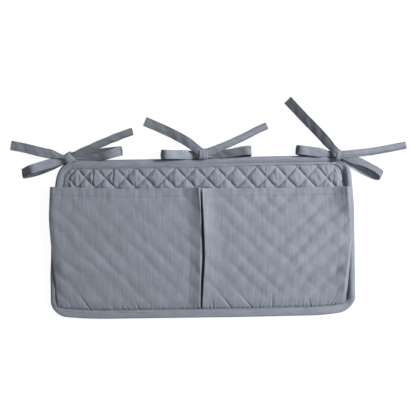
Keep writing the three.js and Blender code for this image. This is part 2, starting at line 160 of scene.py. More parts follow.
# Ties: width of the folded strap, its width where it is bunched at a knot, its thickness, distance from the knot
# at which it is flat, then its stitching: distance from its closed edge, and how far that draws the cloth in
TIE_WIDTH = 16.5
TIE_NECK = 9
TIE_CLOTH = 1.4
TIE_SPREAD = 26
SEAM_EDGE = 2.9
SEAM_PULL = 0.4
KNOT_LOW, KNOT_HIGH = node_box("left_tie_knot")
KNOT_RADIUS = (KNOT_HIGH.x - KNOT_LOW.x) / 2
TAIL_KNOT_HEIGHT = KNOT_HIGH.z - 3.2

# Cells of a strap across, and along a tail, a loop, a knot's wrap and a root; those of a knot's core
STRAP_CELLS = 16
TAIL_CELLS = 48
LOOP_CELLS = 60
WRAP_CELLS = 60
ROOT_CELLS = 12
KNOT_CELLS = (48, 20)

# Bar tack of a tie: rows, stitches in a row, their spacing, level and radius of the thread
TACK_ROWS = 2
TACK_STITCHES = 7
TACK_PITCH = 2.3
TACK_LEVEL = 7.6 + BINDING_CLOTH / 2 + 0.2
TACK_RADIUS = 0.34

# Stitches: distance from one to the next, length and radius of the thread that shows
STITCH_PITCH = 2.9
STITCH_LENGTH = 2.2
THREAD = 0.3

# Angles past which an edge is drawn sharp, on a sheet of cloth, a strap and the pad
SHEET_CREASE = math.radians(50)
STRAP_CREASE = math.radians(60)
PAD_CREASE = math.radians(75)

# Picture: width of the view, point at its middle, height of the cloth there, turn of the camera, lens
VIEW_WIDTH = 752.5
VIEW_MIDDLE = (10.4, 53.1)
VIEW_LEVEL = 12
VIEW_TURN = math.radians(-0.8)
LENS = 100
SENSOR = 36

# Soft lamp: place, size and strength
LAMP_PLACE = (1.435, 0.494, 1.143)
LAMP_SIZE = 0.45
LAMP_WATTS = 46.5

# Even light of the room, from above and from below
ROOM_LIGHT = 0.26
FLOOR_LIGHT = 0.05

# Paper of the floor: light that shines through it from below, and what it reflects
PAPER_GLOW = 0.94
PAPER_TINT = 0.13


# Small sums

def clamp(value):
    return min(max(value, 0.0), 1.0)


def ramp(value, start, end):
    """0 before start, 1 after end and smooth between"""
    t = clamp((value - start) / (end - start))
    return t * t * (3 - 2 * t)


def mix(a, b, t):
    return a + (b - a) * t


def bell(distance, width):
    """1 at no distance, falling away to both sides"""
    return math.exp(-((distance / width) ** 2))


def curve(before, here, there, after, t):
    """A smooth step from here to there, on a line that also passes through before and after"""
    bend = 2 * before - 5 * here + 4 * there - after + t * (3 * (here - there) + after - before)
    return here + 0.5 * t * (there - before + t * bend)


def through(pairs, place):
    """A smooth line through (place, value) pairs, in rising order of place"""
    last = len(pairs) - 1
    if place <= pairs[0][0]:
        return pairs[0][1]
    if place >= pairs[last][0]:
        return pairs[last][1]
    i = max(k for k, pair in enumerate(pairs) if pair[0] <= place)
    values = [pairs[min(max(k, 0), last)][1] for k in range(i - 1, i + 3)]
    return curve(*values, (place - pairs[i][0]) / (pairs[i + 1][0] - pairs[i][0]))


def ripple(x, y, layer=0.0):
    """Smooth noise between -1 and 1"""
    return noise.noise(Vector((x, y, layer)))


def reaches(steps):
    """Distance covered before each of some steps, and after the last"""
    return [0.0, *accumulate(steps)]


def smooth_line(points, count, steps=24):
    """count + 1 evenly spaced points on a smooth line through the given points"""
    points = [Vector(p) for p in points]
    ends = [2 * points[0] - points[1], *points, 2 * points[-1] - points[-2]]
    fine = []
    for k in range(len(points) - 1):
        fine += [curve(*ends[k:k + 4], step / steps) for step in range(steps)]
    fine.append(points[-1])
    reach = reaches((q - p).length for p, q in pairwise(fine))
    line = []
    k = 0
    for step in range(count + 1):
        target = reach[-1] * step / count
        while k < len(fine) - 2 and reach[k + 1] < target:
            k += 1
        line.append(fine[k].lerp(fine[k + 1], (target - reach[k]) / (reach[k + 1] - reach[k])))
    return line


def line_length(line):
    return sum((q - p).length for p, q in pairwise(line))


def heading(degrees):
    """Direction in the panel's plane, turned from +X"""
    return Vector((math.cos(math.radians(degrees)), math.sin(math.radians(degrees))))


# Meshes

def new_piece(name, bm, *materials):
    """A finished object at the origin, smooth apart from its sharp edges"""
    mesh = bpy.data.meshes.new(name)
    bm.to_mesh(mesh)
    bm.free()
    piece = bpy.data.objects.new(name, mesh)
    bpy.context.scene.collection.objects.link(piece)
    for material in materials:
        mesh.materials.append(material)
    mesh.polygons.foreach_set("use_smooth", [True] * len(mesh.polygons))
    return piece


def fasten(piece, body, slot, *nodes):
    """Ties a finished piece to a body, in the place of nodes of the frame, which it hides; slot is not used"""
    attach(piece, body)
    if nodes:
        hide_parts(*nodes)


def cloth_grid(columns, rows, point, cut, flip=False):
    """A grid of cells: from a corner's (column, row), point gives its place and cut that on the flat cloth"""
    bm = bmesh.new()
    weave = bm.loops.layers.uv.new("weave")
    bmesh.ops.create_grid(bm, x_segments=columns, y_segments=rows, size=0.5)
    corner = {}
    for vert in bm.verts:
        corner[vert] = (round((vert.co.x + 0.5) * columns), round((vert.co.y + 0.5) * rows))
    for face in bm.faces:
        for loop in face.loops:
            loop[weave].uv = Vector(cut(*corner[loop.vert])) * MM
    for vert, (column, row) in corner.items():
        vert.co = Vector(point(column, row)) * MM
    if flip:
        bmesh.ops.reverse_faces(bm, faces=bm.faces[:])
    return bm


def weld(bm):
    bmesh.ops.remove_doubles(bm, verts=bm.verts[:], dist=1e-6)


def thicken(piece, thickness):
    """Gives a sheet the thickness of its cloth, half on each side"""
    solid = piece.modifiers.new("cloth", "SOLIDIFY")
    solid.thickness = thickness * MM
    solid.offset = 0
    bake_modifiers(piece)
    piece.data.set_sharp_from_angle(angle=SHEET_CREASE)


def bake_modifiers(piece):
    depsgraph = bpy.context.evaluated_depsgraph_get()
    mesh = bpy.data.meshes.new_from_object(piece.evaluated_get(depsgraph))
    piece.modifiers.clear()
    piece.data = mesh


def stitch(bm, place, direction, facing=UP, thread=THREAD):
    """Adds a stitch that shows on the side that it faces"""
    along = direction.normalized()
    across = facing.cross(along).normalized()
    turn = Matrix((along, across, along.cross(across))).transposed().to_4x4()
    size = Matrix.Diagonal((STITCH_LENGTH / 2, thread, thread, 1 / MM))
    matrix = Matrix.Translation(place * MM) @ turn @ (size * MM)
    bmesh.ops.create_icosphere(bm, subdivisions=1, radius=1, matrix=matrix)


def stitch_places(line):
    """(place, direction) of each stitch along a line of points"""
    found = []
    target = STITCH_PITCH / 2
    reach = 0.0
    for p, q in pairwise(line):
        step = (q - p).length
        while step > 0 and target <= reach + step:
            found.append((p.lerp(q, (target - reach) / step), q - p))
            target += STITCH_PITCH
        reach += step
    return found


# Materials

class Shader:
    """A material's node tree, built a node at a time"""

    def __init__(self, name):
        self.material = bpy.data.materials.new(name)
        self.material.use_nodes = True
        self.tree = self.material.node_tree
        self.tree.nodes.clear()

    def node(self, kind, inputs=None, **settings):
        made = self.tree.nodes.new(kind)
        for key, value in settings.items():
            setattr(made, key, value)
        for key, value in (inputs or {}).items():
            socket = made.inputs[key]
            if isinstance(value, bpy.types.NodeSocket):
                self.tree.links.new(value, socket)
            else:
                socket.default_value = value
        return made

    def done(self, surface):
        """The material, with its surface"""
        self.node("ShaderNodeOutputMaterial", {"Surface": surface})
        return self.material

    def spread(self, value, start, end, low=0.0, high=1.0):
        """A value from start to end, brought to low and high"""
        return self.node("ShaderNodeMapRange", {0: value, 1: start, 2: end, 3: low, 4: high}).outputs[0]

    def tones(self, share, colour, dark, light):
        """A colour between two of its own tones"""
        inputs = {0: share, 6: (*[dark * c for c in colour], 1), 7: (*[light * c for c in colour], 1)}
        return self.node("ShaderNodeMix", inputs, data_type="RGBA").outputs[2]

    def weighed(self, *shares):
        """The sum of values, each times its own weight"""
        total = 0.0
        for value, weight in shares:
            made = self.node("ShaderNodeMath", {0: value, 1: weight, 2: total}, operation="MULTIPLY_ADD")
            total = made.outputs[0]
        return total

    def noise(self, vector, scale, detail=2.0, roughness=0.5):
        inputs = {"Vector": vector, "Scale": scale, "Detail": detail, "Roughness": roughness}
        return self.node("ShaderNodeTexNoise", inputs, noise_dimensions="3D").outputs["Fac"]

    def stretched(self, vector, scale):
        return self.node("ShaderNodeMapping", {"Vector": vector, "Scale": scale}).outputs[0]

    def bands(self, vector, direction, pitch):
        inputs = {"Vector": vector, "Scale": 2 * math.pi / (20 * pitch)}
        made = self.node("ShaderNodeTexWave", inputs, wave_type="BANDS", bands_direction=direction)
        return made.outputs["Fac"]

    def bump(self, height, distance, strength, normal=None):
        inputs = {"Height": height, "Distance": distance, "Strength": strength}
        if normal is not None:
            inputs["Normal"] = normal
        return self.node("ShaderNodeBump", inputs).outputs[0]


def cotton(name, colour, paint_shade=False):
    """Plain-woven cotton: a fine weave with thicker and thinner threads, faded unevenly; with paint_shade, its
    colour is scaled by painted light and shade from each piece's tone attribute
    """
    shader = Shader(name)
    place = shader.node("ShaderNodeUVMap", uv_map="weave").outputs[0]
    warp = shader.noise(shader.stretched(place, (260, 18, 1)), 1.0, 4.0, 0.65)
    weft = shader.noise(shader.stretched(place, (24, 360, 1)), 1.0, 3.0, 0.6)
    thin = shader.noise(shader.stretched(place, (950, 60, 1)), 1.0, 2.0, 0.6)
    fading = shader.noise(place, 26.0, 3.0, 0.55)
    threads = shader.weighed((warp, 0.6), (weft, 0.13), (thin, 0.27))
    shade = shader.weighed((threads, 0.8), (fading, 0.2))
    tint = shader.tones(shader.spread(shade, 0.36, 0.64), colour, 0.8, 1.2)
    # Painted light and shade: the colour is scaled by the piece's tone, darker on straps and loop insides that
    # lie in shade and lighter on some that catch the light
    if paint_shade:
        tone = shader.node("ShaderNodeAttribute", attribute_name="tone").outputs["Fac"]
        tint = shader.node("ShaderNodeVectorMath", {0: tint, "Scale": tone}, operation="SCALE").outputs[0]
    crossed = {k: shader.bands(place, axis, WEAVE_PITCH) for k, axis in enumerate("XY")}
    over = shader.node("ShaderNodeMath", crossed, operation="MULTIPLY").outputs[0]
    threads_bump = shader.bump(threads, 0.0012, 0.5)
    surface = shader.node("ShaderNodeBsdfPrincipled", {
        "Base Color": tint,
        "Roughness": shader.spread(threads, 0.3, 0.7, 0.8, 0.97),
        "Normal": shader.bump(over, 0.00015, 0.5, threads_bump),
        "Specular IOR Level": 0.22,
        "Sheen Weight": 0.12,
        "Sheen Roughness": 0.45,
    })
    return shader.done(surface.outputs[0])


def sewing_thread(name, colour):
    """Twisted sewing thread"""
    shader = Shader(name)
    place = shader.node("ShaderNodeTexCoord").outputs["Object"]
    twist = shader.noise(place, 2600.0, 2.0, 0.6)
    surface = shader.node("ShaderNodeBsdfPrincipled", {
        "Base Color": shader.tones(twist, colour, 0.75, 1.2),
        "Roughness": shader.spread(twist, 0, 1, 0.5, 0.75),
        "Normal": shader.bump(twist, 0.0001, 0.4),
        "Sheen Weight": 0.15,
    })
    return shader.done(surface.outputs[0])


def paper_floor():
    """Bright seamless paper"""
    shader = Shader("paper_floor")
    place = shader.node("ShaderNodeTexCoord").outputs["Object"]
    tone = shader.spread(shader.noise(place, 300.0), 0, 1, 0.995, 1.005)
    glow = shader.node("ShaderNodeEmission", {"Color": tone, "Strength": PAPER_GLOW}).outputs[0]
    matt = shader.node("ShaderNodeBsdfDiffuse", {"Color": (PAPER_TINT, PAPER_TINT, PAPER_TINT, 1)}).outputs[0]
    return shader.done(shader.node("ShaderNodeAddShader", {0: glow, 1: matt}).outputs[0])


def bright_backdrop():
    """Evenly lit white paper, far behind"""
    shader = Shader("bright_backdrop")
    return shader.done(shader.node("ShaderNodeEmission", {"Color": (1, 1, 1, 1), "Strength": 1.0}).outputs[0])


# Distance from one thread of the cloth to the next but one, in metres
WEAVE_PITCH = 0.00062

SLATE = (0.245, 0.268, 0.318)
SLATE_COTTON = cotton("slate_cotton", SLATE)
TIE_COTTON = cotton("tie_cotton", SLATE, paint_shade=True)
LINING_COTTON = cotton("lining_cotton", (0.27, 0.29, 0.335))
SEWING_THREAD = sewing_thread("sewing_thread", (0.12, 0.13, 0.17))
TACK_THREAD = sewing_thread("tack_thread", (0.09, 0.09, 0.12))


# Panel

def corner_lift(x, y):
    """How far a lower corner has drawn up at a point"""
    lift = RIGHT_LIFT if x > 0 else LEFT_LIFT
    out = max(abs(x) - LIFT_START, 0) / LIFT_LENGTH
    return lift * out ** 2 * ramp(-y, 85, PANEL_TOP)


def lie(x, y):
    """Where a point of the panel lies: its upper corners slipped in, its other edges drawn a little out"""
    left = LEFT_SLIP * ramp(y, 30, 135) * ramp(-x, 200, 285)
    left -= LEFT_SPREAD * ramp(-y, 20, 70) * ramp(-x, 225, 270)
    right = RIGHT_SLIP * ramp(y, 45, 125) * ramp(x, 215, 285)
    top = mix(*TOP_SPREAD, ramp(x, -60, 150)) * ramp(y, 95, 130)
    foot = FOOT_SPREAD * ramp(-y, 80, 130)
    foot *= (1 - 0.75 * ramp(abs(x), 170, 250)) * (1 - 0.35 * ramp(x, 60, 170))
    return x + left - right, y + corner_lift(x, y) + top - foot


def edge_curl(x, y):
    """How far an edge at the side has rolled up"""
    if x < 0:
        return LEFT_CURL * ramp(-x, 259, 268) * ramp(-y, 20, 45) * (1 - ramp(-y, 105, 130))
    curl = mix(*RIGHT_CURL, ramp(y, 60, 105))
    return curl * ramp(x, 257.5, 268.5) * ramp(PANEL_TOP - abs(y), 8, 34)


def inset(x, y):
    """Distance of a point inwards from the panel's edge"""
    corner = TOP_CORNER if y > 0 else BOTTOM_CORNER
    past_x = abs(x) - (PANEL_SIDE - corner)
    past_y = abs(y) - (PANEL_TOP - corner)
    return corner - math.hypot(max(past_x, 0), max(past_y, 0)) - min(max(past_x, past_y), 0)


def lattice(x, y):
    """Place in the quilting, in half diamonds from one crossing of its stitching"""
    dx = x - CROSSING[0]
    dy = y - CROSSING[1]
    u = dx * math.cos(QUILT_TURN) - dy * math.sin(QUILT_TURN)
    v = dx * math.sin(QUILT_TURN) + dy * math.cos(QUILT_TURN)
    return u / (DIAMOND / 2), v / (DIAMOND / 2)


def off_lattice(u, v):
    """The place of a point of the quilting, the other way round"""
    dx = (u * math.cos(QUILT_TURN) + v * math.sin(QUILT_TURN)) * DIAMOND / 2
    dy = (-u * math.sin(QUILT_TURN) + v * math.cos(QUILT_TURN)) * DIAMOND / 2
    return CROSSING[0] + dx, CROSSING[1] + dy


def from_lines(x, y):
    """For each set of quilting lines, 0 on a line and 1 midway to the next"""
    u, v = lattice(x, y)
    return [1 - abs(across % 2 - 1) for across in (u + v, u - v)]


def puff(x, y):
    """Share of a puff's full height"""
    share = 1.0
    for away in from_lines(x, y):
        share *= 1 - (1 - away) ** PUFF_FULLNESS
    return share


def sewn_down(x, y):
    """0 where the binding or the pockets are sewn on or the quilt is crumpled flat, 1 away from there"""
    free = ramp(inset(x, y), BINDING_WIDTH - 0.5, BINDING_WIDTH + 5) * ramp(x, -251, -243)
    if y < MOUTH:
        free *= ramp(abs(x), DIVIDER_HIGH.x, DIVIDER_HIGH.x + 12)
    return free


def quilt_top(x, y):
    """Height of the face before it is let puff up and crease, lower where a pocket presses on it"""
    pressed = 1 - 0.6 * ramp(MOUTH - y, 25, 50)
    crease = 0.6 * ripple(x / 5.5, y / 16, 5.0)
    return STITCH_LEVEL + sewn_down(x, y) * puff(x, y) * (PUFF_HEIGHT + crease) * pressed


def crease_depth(x, y):
    """Depth of the sharp creases that the stitching has drawn into the face, and of the crumpled ends"""
    depth = 0.0
    for x0, y0, x1, y1, deep in CREASES:
        share = clamp((y0 - y) / (y0 - y1))
        q = (x - mix(x0, x1, share)) / 1.5
        along = ramp(y, y1 - 3, y1 + 3) * (1 - ramp(y, y0 - 3, y0 + 3))
        depth += deep * along * (1 - 0.5 * q) * math.exp(-q * q)
    crumpled = ramp(abs(x), 205, 240) * ramp(y, 70, 95)
    crumpled *= 1 + 0.9 * ramp(-x, 238, 250)
    broad = 0.9 * crumpled * ripple(x / 5, y / 11 + x / 24, 7.0)
    return depth + (broad + 0.35 * crumpled * ripple(x / 2.6, y / 5, 9.0))


# Creases of the face, as (upper end, lower end, depth)
CREASES = [
    (-226, 116, -226, 105, 1.0), (-204, 117, -206, 104, 0.9), (-196, 125, -198, 99, 1.7),
    (-183, 99, -184, 90, 1.2), (-168, 118, -169, 106, 0.9), (-159, 125, -162, 103, 1.6),
    (-151, 101, -150, 90, 1.1), (-133, 124, -134, 110, 0.8), (-122, 104, -121, 92, 0.8),
    (-116, 120, -117, 102, 0.9), (-96, 124, -97, 112, 0.6), (-70, 106, -71, 92, 0.6),
    (20, 112, 19, 101, 0.6), (60, 126, 61, 117, 0.6), (116, 127, 115, 116, 1.0),
    (132, 113, 133, 102, 1.2), (178, 127, 176, 117, 0.9), (222, 124, 230, 108, 0.7),
    (236, 124, 246, 110, 0.8), (243.5, 123, 258, 104, 2.0),
]


def puff_up(pad, sewn):
    """Lets the face cloth swell and crease between the points that are sewn down"""
    pad.vertex_groups.new(name="sewn").add(sewn, 1.0, "REPLACE")
    puffing = pad.modifiers.new("puffing", "CLOTH")
    settings = puffing.settings
    settings.quality = 6
    settings.mass = 0.15
    settings.tension_stiffness = 12
    settings.compression_stiffness = 12
    settings.shear_stiffness = 5
    settings.bending_stiffness = 0.2
    settings.air_damping = 4
    settings.vertex_group_mass = "sewn"
    settings.shrink_min = -PUFF_SLACK
    settings.use_pressure = True
    settings.uniform_pressure_force = 1.6
    settings.effector_weights.gravity = 0
    puffing.collision_settings.use_collision = False
    puffing.point_cache.frame_end = PUFF_FRAMES
    before = [vert.co.copy() for vert in pad.data.vertices]
    for number in range(1, PUFF_FRAMES + 1):
        bpy.context.scene.frame_set(number)
    bake_modifiers(pad)
    pad.vertex_groups.clear()
    for vert, start in zip(pad.data.vertices, before):
        move = vert.co - start
        if move.length > PUFF_LIMIT * MM:
            vert.co = start + move.normalized() * PUFF_LIMIT * MM


def drawn_in(x, y, z):
    """Height of the puffed face once its stitching, its creases, the mouths and the binding have drawn it in"""
    groove = bell(min(from_lines(x, y)) * DIAMOND / math.sqrt(8), 1.3) + crease_depth(x, y)
    z += edge_curl(x, y) - groove * sewn_down(x, y)
    if y > 0:
        z -= ramp(mouth_line(POCKETS["left" if x < 0 else "right"], abs(x)) + 4 - y, 0, 5)
    z = max(z, BATTING_HIGH.z + 0.2)
    if y > 0:
        z -= 1.8 * bell(inset(x, y) - BINDING_WIDTH - 1.3, 1.4)
    return z


def quilted_pad():
    """The face of the panel over its wadding, drawn down along the diamond stitching"""
    reach = math.ceil((PANEL_SIDE + PANEL_TOP + CROSSING[1] + 20) / DIAMOND) * PUFF_CELLS

    def flat(column, row):
        a = 2 * (column - reach) / PUFF_CELLS
        b = 2 * (row - reach) / PUFF_CELLS
        return off_lattice((a - b) / 2, (a + b) / 2)

    def point(column, row):
        x, y = flat(column, row)
        return x, y, quilt_top(x, y) if inset(x, y) > 0 else STITCH_LEVEL

    bm = cloth_grid(2 * reach, 2 * reach, point, flat)
    hidden = [v for v in bm.verts if inset(v.co.x / MM, v.co.y / MM) < 4]
    bmesh.ops.delete(bm, geom=hidden, context="VERTS")
    pad = new_piece("quilted_pad", bm, SLATE_COTTON)
    sewn = []
    for vert in pad.data.vertices:
        x, y, _ = vert.co / MM
        if min(from_lines(x, y)) < 0.01 or sewn_down(x, y) < 0.5:
            sewn.append(vert.index)
    puff_up(pad, sewn)
    fine = pad.modifiers.new("fine", "SUBSURF")
    fine.levels = fine.render_levels = 1
    bake_modifiers(pad)

    bm = bmesh.new()
    bm.from_mesh(pad.data)
    shown = [e for e in bm.edges if min(v.co.y for v in e.verts) > (MOUTH - 14) * MM]
    bmesh.ops.subdivide_edges(bm, edges=shown, cuts=1, smooth=0.6, use_grid_fill=True)
    for vert in bm.verts:
        x, y, z = vert.co / MM
        vert.co = Vector((*lie(x, y), drawn_in(x, y, z))) * MM
    rim = [e for e in bm.edges if e.is_boundary]
    side = bmesh.ops.extrude_edge_only(bm, edges=rim)["geom"]
    for item in side:
        if isinstance(item, bmesh.types.BMVert):
            item.co.z = BATTING_LOW.z * MM
    foot = [item for item in side if isinstance(item, bmesh.types.BMEdge) and item.is_boundary]
    bmesh.ops.triangle_fill(bm, edges=foot, use_beauty=False)
    bmesh.ops.recalc_face_normals(bm, faces=bm.faces[:])
    bm.to_mesh(pad.data)
    bm.free()
    pad.data.set_sharp_from_angle(angle=PAD_CREASE)
    fasten(pad, "panel", "slate_cotton", "quilt_face", "batting")


def quilting_stitches():
    """Thread along both sets of quilting lines, where the face isn't under the binding"""
    bm = bmesh.new()
    reach = math.ceil(2 * (PANEL_SIDE + PANEL_TOP + CROSSING[1]) / DIAMOND)
    for line in range(-2 * reach, 2 * reach, 2):
        for slant in (-1, 1):
            ends = [Vector((*off_lattice(u, slant * (line - u)), 0)) for u in (-reach, reach)]
            for place, direction in stitch_places(ends):
                if inset(place.x, place.y) > BINDING_WIDTH - 3:
                    height = STITCH_LEVEL - 0.7 * sewn_down(place.x, place.y)
                    stitch(bm, Vector((*lie(place.x, place.y), height)), direction)
    fasten(new_piece("quilting_stitches", bm, SEWING_THREAD), "panel", "slate_cotton")


def lining():
    """The cloth on the back, quilted through"""
    columns, rows = LINING_CELLS
    edge = BINDING_WIDTH / 3

    def flat(column, row):
        y = mix(-PANEL_TOP + edge, PANEL_TOP - edge, row / rows)
        corner = TOP_CORNER if y > 0 else BOTTOM_CORNER
        past = max(abs(y) - (PANEL_TOP - corner), 0)
        side = PANEL_SIDE - corner + math.sqrt(max((corner - edge) ** 2 - past ** 2, 0))
        return mix(-side, side, column / columns), y

    def point(column, row):
        x, y = flat(column, row)
        return (*lie(x, y), LINING_HIGH.z - 0.75 * puff(x, y) * sewn_down(x, y))

    piece = new_piece("quilted_lining", cloth_grid(columns, rows, point, flat, flip=True), LINING_COTTON)
    thicken(piece, LINING_CLOTH)
    fasten(piece, "panel", "lining_cotton", "back_lining")


def panel_edge():
    """Places round the panel's edge with their outward directions, from the lower left corner to the right"""
    corners = []
    for turn, (side, end, radius) in enumerate([
        (-1, -1, BOTTOM_CORNER), (1, -1, BOTTOM_CORNER), (1, 1, TOP_CORNER), (-1, 1, TOP_CORNER),
    ]):
        middle = Vector((side * (PANEL_SIDE - radius), end * (PANEL_TOP - radius)))
        corners.append((middle, radius, 90 * (turn + 2) % 360))
    stations = []
    for (middle, radius, start), (next_middle, next_radius, next_start) in pairwise(corners + corners[:1]):
        steps = round(radius * math.pi / 2 / CORNER_STEP)
        for step in range(steps):
            outward = heading(start + 90 * step / steps)
            stations.append((middle + radius * outward, outward))
        outward = heading(next_start)
        behind = middle + radius * outward
        ahead = next_middle + next_radius * outward
        steps = round((ahead - behind).length / SIDE_STEP)
        for step in range(steps):
            stations.append((behind.lerp(ahead, step / steps), outward))
    return stations


# The binding's section from its back edge round the fold, as (inset, height), then its turned front edge as it
# is along most of the panel, and at the right end of the top, where it stands up inside the stitching
BINDING_FOLD = [
    (15, 0.45), (10, 0.42), (5, 0.5), (2.0, 0.9), (0.4, 2.2), (-0.2, 4.0), (0.3, 6.0), (2.0, 7.5), (5, 8.3),
]
BINDING_FRONT = [
    (8, 8.3), (10.6, 7.9), (12.6, 7.2), (13.6, 6.5), (BINDING_STITCH, GROOVE_LEVEL), (14.8, 6.3), (15.4, 6.3),
    (15.7, 6.0), (15.3, 5.7), (14.3, 5.6),
]
RAISED_FRONT = [
    (7, 8.0), (8.6, 7.3), (9.6, 6.5), (RIGHT_STITCH, GROOVE_LEVEL), (11.8, 6.2), (13.0, 6.9), (14.2, 7.5),
    (15.1, 7.0), (14.9, 6.1), (14.2, 5.7),
]


def raised_front(place, outward):
    """Share of the raised front edge in the binding at a place: only along the top, more to the right"""
    return ramp(place.x, -150, 190) * max(outward.y, 0) ** 2


def binding_pucker(place, from_edge):
    """Height that the sewing puckers add to the binding's front"""
    tight = ramp(abs(place.x), 215, 255) * ramp(place.y, 70, 125)
    share = ramp(from_edge, 2, 11)
    fine = 0.35 * ripple(place.x / 6, place.y / 6, 11.0)
    broad = 0.35 * ripple(place.x / 21, place.y / 21, 13.0)
    gathers = 1.1 * tight * ripple((abs(place.x) + place.y) / 5, (abs(place.x) - place.y) / 24, 17.0)
    return share * (fine + gathers) + broad * ramp(from_edge, 0, 6)


def binding_lean(outward, from_edge, height):
    """How far the binding is pressed down: flat along the foot, leaning inwards along the top"""
    at_foot = 0.75 * max(-outward.y, 0) * max(height - 6.7, 0)
    at_top = 0.9 * max(outward.y, 0) * ramp(from_edge, 3, 13) * clamp((height - 1) / 6.5)
    return at_foot + at_top


def edge_binding():
    """One strip of cloth folded round the panel's edge, its front edge turned under"""
    stations = panel_edge()
    around = stations + stations[:1]
    reach = reaches((q - p).length for (p, _), (q, _) in pairwise(around))
    flat_section, raised_section = (
        smooth_line([(*spot, 0) for spot in BINDING_FOLD + front], BINDING_CELLS)
        for front in (BINDING_FRONT, RAISED_FRONT)
    )
    width = line_length(flat_section)

    def point(column, row):
        edge, outward = around[column]
        from_edge, height, _ = flat_section[row].lerp(raised_section[row], raised_front(edge, outward))
        place = edge - from_edge * outward
        height -= binding_lean(outward, from_edge, height)
        if row > BINDING_CELLS / 2:
            height += binding_pucker(place, from_edge) + edge_curl(*place)
        return (*lie(*place), height)

    def flat(column, row):
        return width * row / BINDING_CELLS, reach[column]

    bm = cloth_grid(len(stations), BINDING_CELLS, point, flat)
    weld(bm)
    piece = new_piece("edge_binding_strip", bm, SLATE_COTTON)
    thicken(piece, BINDING_CLOTH)
    fasten(piece, "panel", "slate_cotton", "edge_binding")
    binding_stitches(around)


def binding_stitches(around):
    """The binding's topstitching, and its thread on the back"""
    loop = []
    for edge, outward in around:
        from_edge = mix(BINDING_STITCH, RIGHT_STITCH, raised_front(edge, outward))
        loop.append(Vector((*(edge - from_edge * outward), 0)))
    bm = bmesh.new()
    for place, direction in stitch_places(loop):
        outward = Vector((direction.y, -direction.x)).normalized()
        height = FRONT_THREAD_LEVEL - binding_lean(outward, BINDING_STITCH, GROOVE_LEVEL) + BINDING_CLOTH / 2
        height += binding_pucker(place, BINDING_STITCH) + edge_curl(place.x, place.y)
        thread = mix(*BINDING_THREAD, raised_front(place, outward))
        x, y = lie(place.x, place.y)
        stitch(bm, Vector((x, y, height)), direction, thread=thread)
        stitch(bm, Vector((x, y, BACK_THREAD_LEVEL)), direction, -UP)
    fasten(new_piece("binding_stitches", bm, TACK_THREAD), "panel", "slate_cotton")


# Pockets

# For each pocket: the lines of its outer edge and of its edge at the middle, as (height, distance from the
# middle); the height of its mouth at the middle of the panel, halfway and at the outer edge; the width of its
# hem; how strongly the two sets of quilting lines show through, as (distance from the middle, share, share), and
# how much less so at the mouth; the swell beside the middle, as (height, rise, width, power, distance of its
# crest from the middle); the swell beside the outer edge, as (height, rise, width of the rise, power, drop past
# its crest, width of that drop); and the puckers at its foot, as (place across, height, depth, lean).
POCKETS = {
    "left": {
        "side": -1,
        "outer": [
            (-127, 256), (-125.5, 261), (-122, 263.5), (-97, 266), (-71, 267.8), (-50, 271.5), (-13, 274.2),
            (35, 277.2), (70, 275.7), (95, 274.4),
        ],
        "inner": [(-128, 6.2), (-80, 4.6), (-32, 1.6), (22, 2.2), (86, 3.2), (95, 3.4)],
        "mouth": (90.3, 89.8, 95),
        "hem": 15.5,
        "imprint": [(0, 0.42, 0.2), (275, 0.44, 0.2)],
        "fade": 0.5,
        "inner_swell": [
            (-128, 6.5, 20, 1.3, 8), (-60, 6.0, 20, 1.3, 5.2), (0, 4.5, 22, 1.3, 3), (50, 8.3, 29, 1.9, 3),
            (78, 10.2, 31, 2.0, 5), (95, 10.6, 31, 2.0, 6),
        ],
        "outer_swell": [
            (-128, 0, 27, 1, 3.0, 16), (-80, 0, 27, 1, 4.2, 22), (-20, 0, 27, 1, 4.2, 20),
            (30, 0, 27, 1, 3.0, 10), (95, 0, 27, 1, 2.8, 8),
        ],
        "puckers": [
            (-204.3, 13, 2.2, -0.79), (-184, 6, 0.9, -0.5), (-161, 5, 1.2, -0.3), (-149, 4, 1.0, 0.1),
            (-137, 6, 1.2, -0.5), (-117, 7, 1.4, -0.4), (-226, 5, 1.0, -0.4), (-66, 6, 0.8, 0.1),
            (-98, 5, 1.0, 0.2), (-240, 4, 1.0, -0.3),
        ],
    },
    "right": {
        "side": 1,
        "outer": [
            (-127, 250), (-125, 253), (-119.5, 255.6), (-99, 259.6), (-81, 261.8), (-36, 266.0), (1, 269.3),
            (50, 269.3), (92, 267.4),
        ],
        "inner": [(-128, -2.4), (-80, 0.6), (-32, 3.4), (22, 2.4), (86, 0.2), (95, 0.0)],
        "mouth": (88.5, 87.5, 88.3),
        "hem": 14,
        "imprint": [(0, 0.36, 0.3), (100, 0.38, 0.36), (175, 0.28, 0.95), (275, 0.28, 1.0)],
        "fade": 0.0,
        "inner_swell": [
            (-128, 4.2, 24, 1.2, -2), (-60, 5.6, 28, 1.3, 1), (0, 9.0, 34, 1.3, 3), (50, 10.6, 28, 2.5, 2),
            (78, 11.2, 28, 2.8, 1), (95, 11.2, 28, 2.8, 1),
        ],
        "outer_swell": [
            (-128, 0.5, 16, 1.1, 1.2, 6), (-90, 5.2, 18, 1.1, 4.5, 6), (-50, 4.6, 18, 1.1, 4.0, 5),
            (-10, 0.6, 20, 1.2, 2.4, 3), (20, 1.0, 28, 1.6, 2.6, 4), (45, 5.8, 36, 1.8, 3.8, 6),
            (68, 11.2, 38, 1.9, 5.0, 6.5), (95, 12.2, 38, 1.9, 5.2, 7),
        ],
        "puckers": [
            (4.5, 6, 1.0, 0.1), (9.7, 9, 1.2, 0.1), (17, 14, 1.4, -0.1), (51.5, 18, 1.8, -0.85),
            (89, 14, 1.9, -0.95), (101, 5, 1.2, 0.0), (112, 4, 1.0, 0.1), (124.5, 14, 1.6, -0.02),
            (146, 4, 1.0, 0.2), (163, 5, 1.1, 0.1), (178, 6, 1.4, 0.1), (194.2, 8, 1.8, -0.3),
            (208.7, 6, 1.5, 0.1), (221, 4, 1.2, 0.3), (229, 8, 1.7, 0.5), (236, 6, 1.5, 0.5),
        ],
    },
}


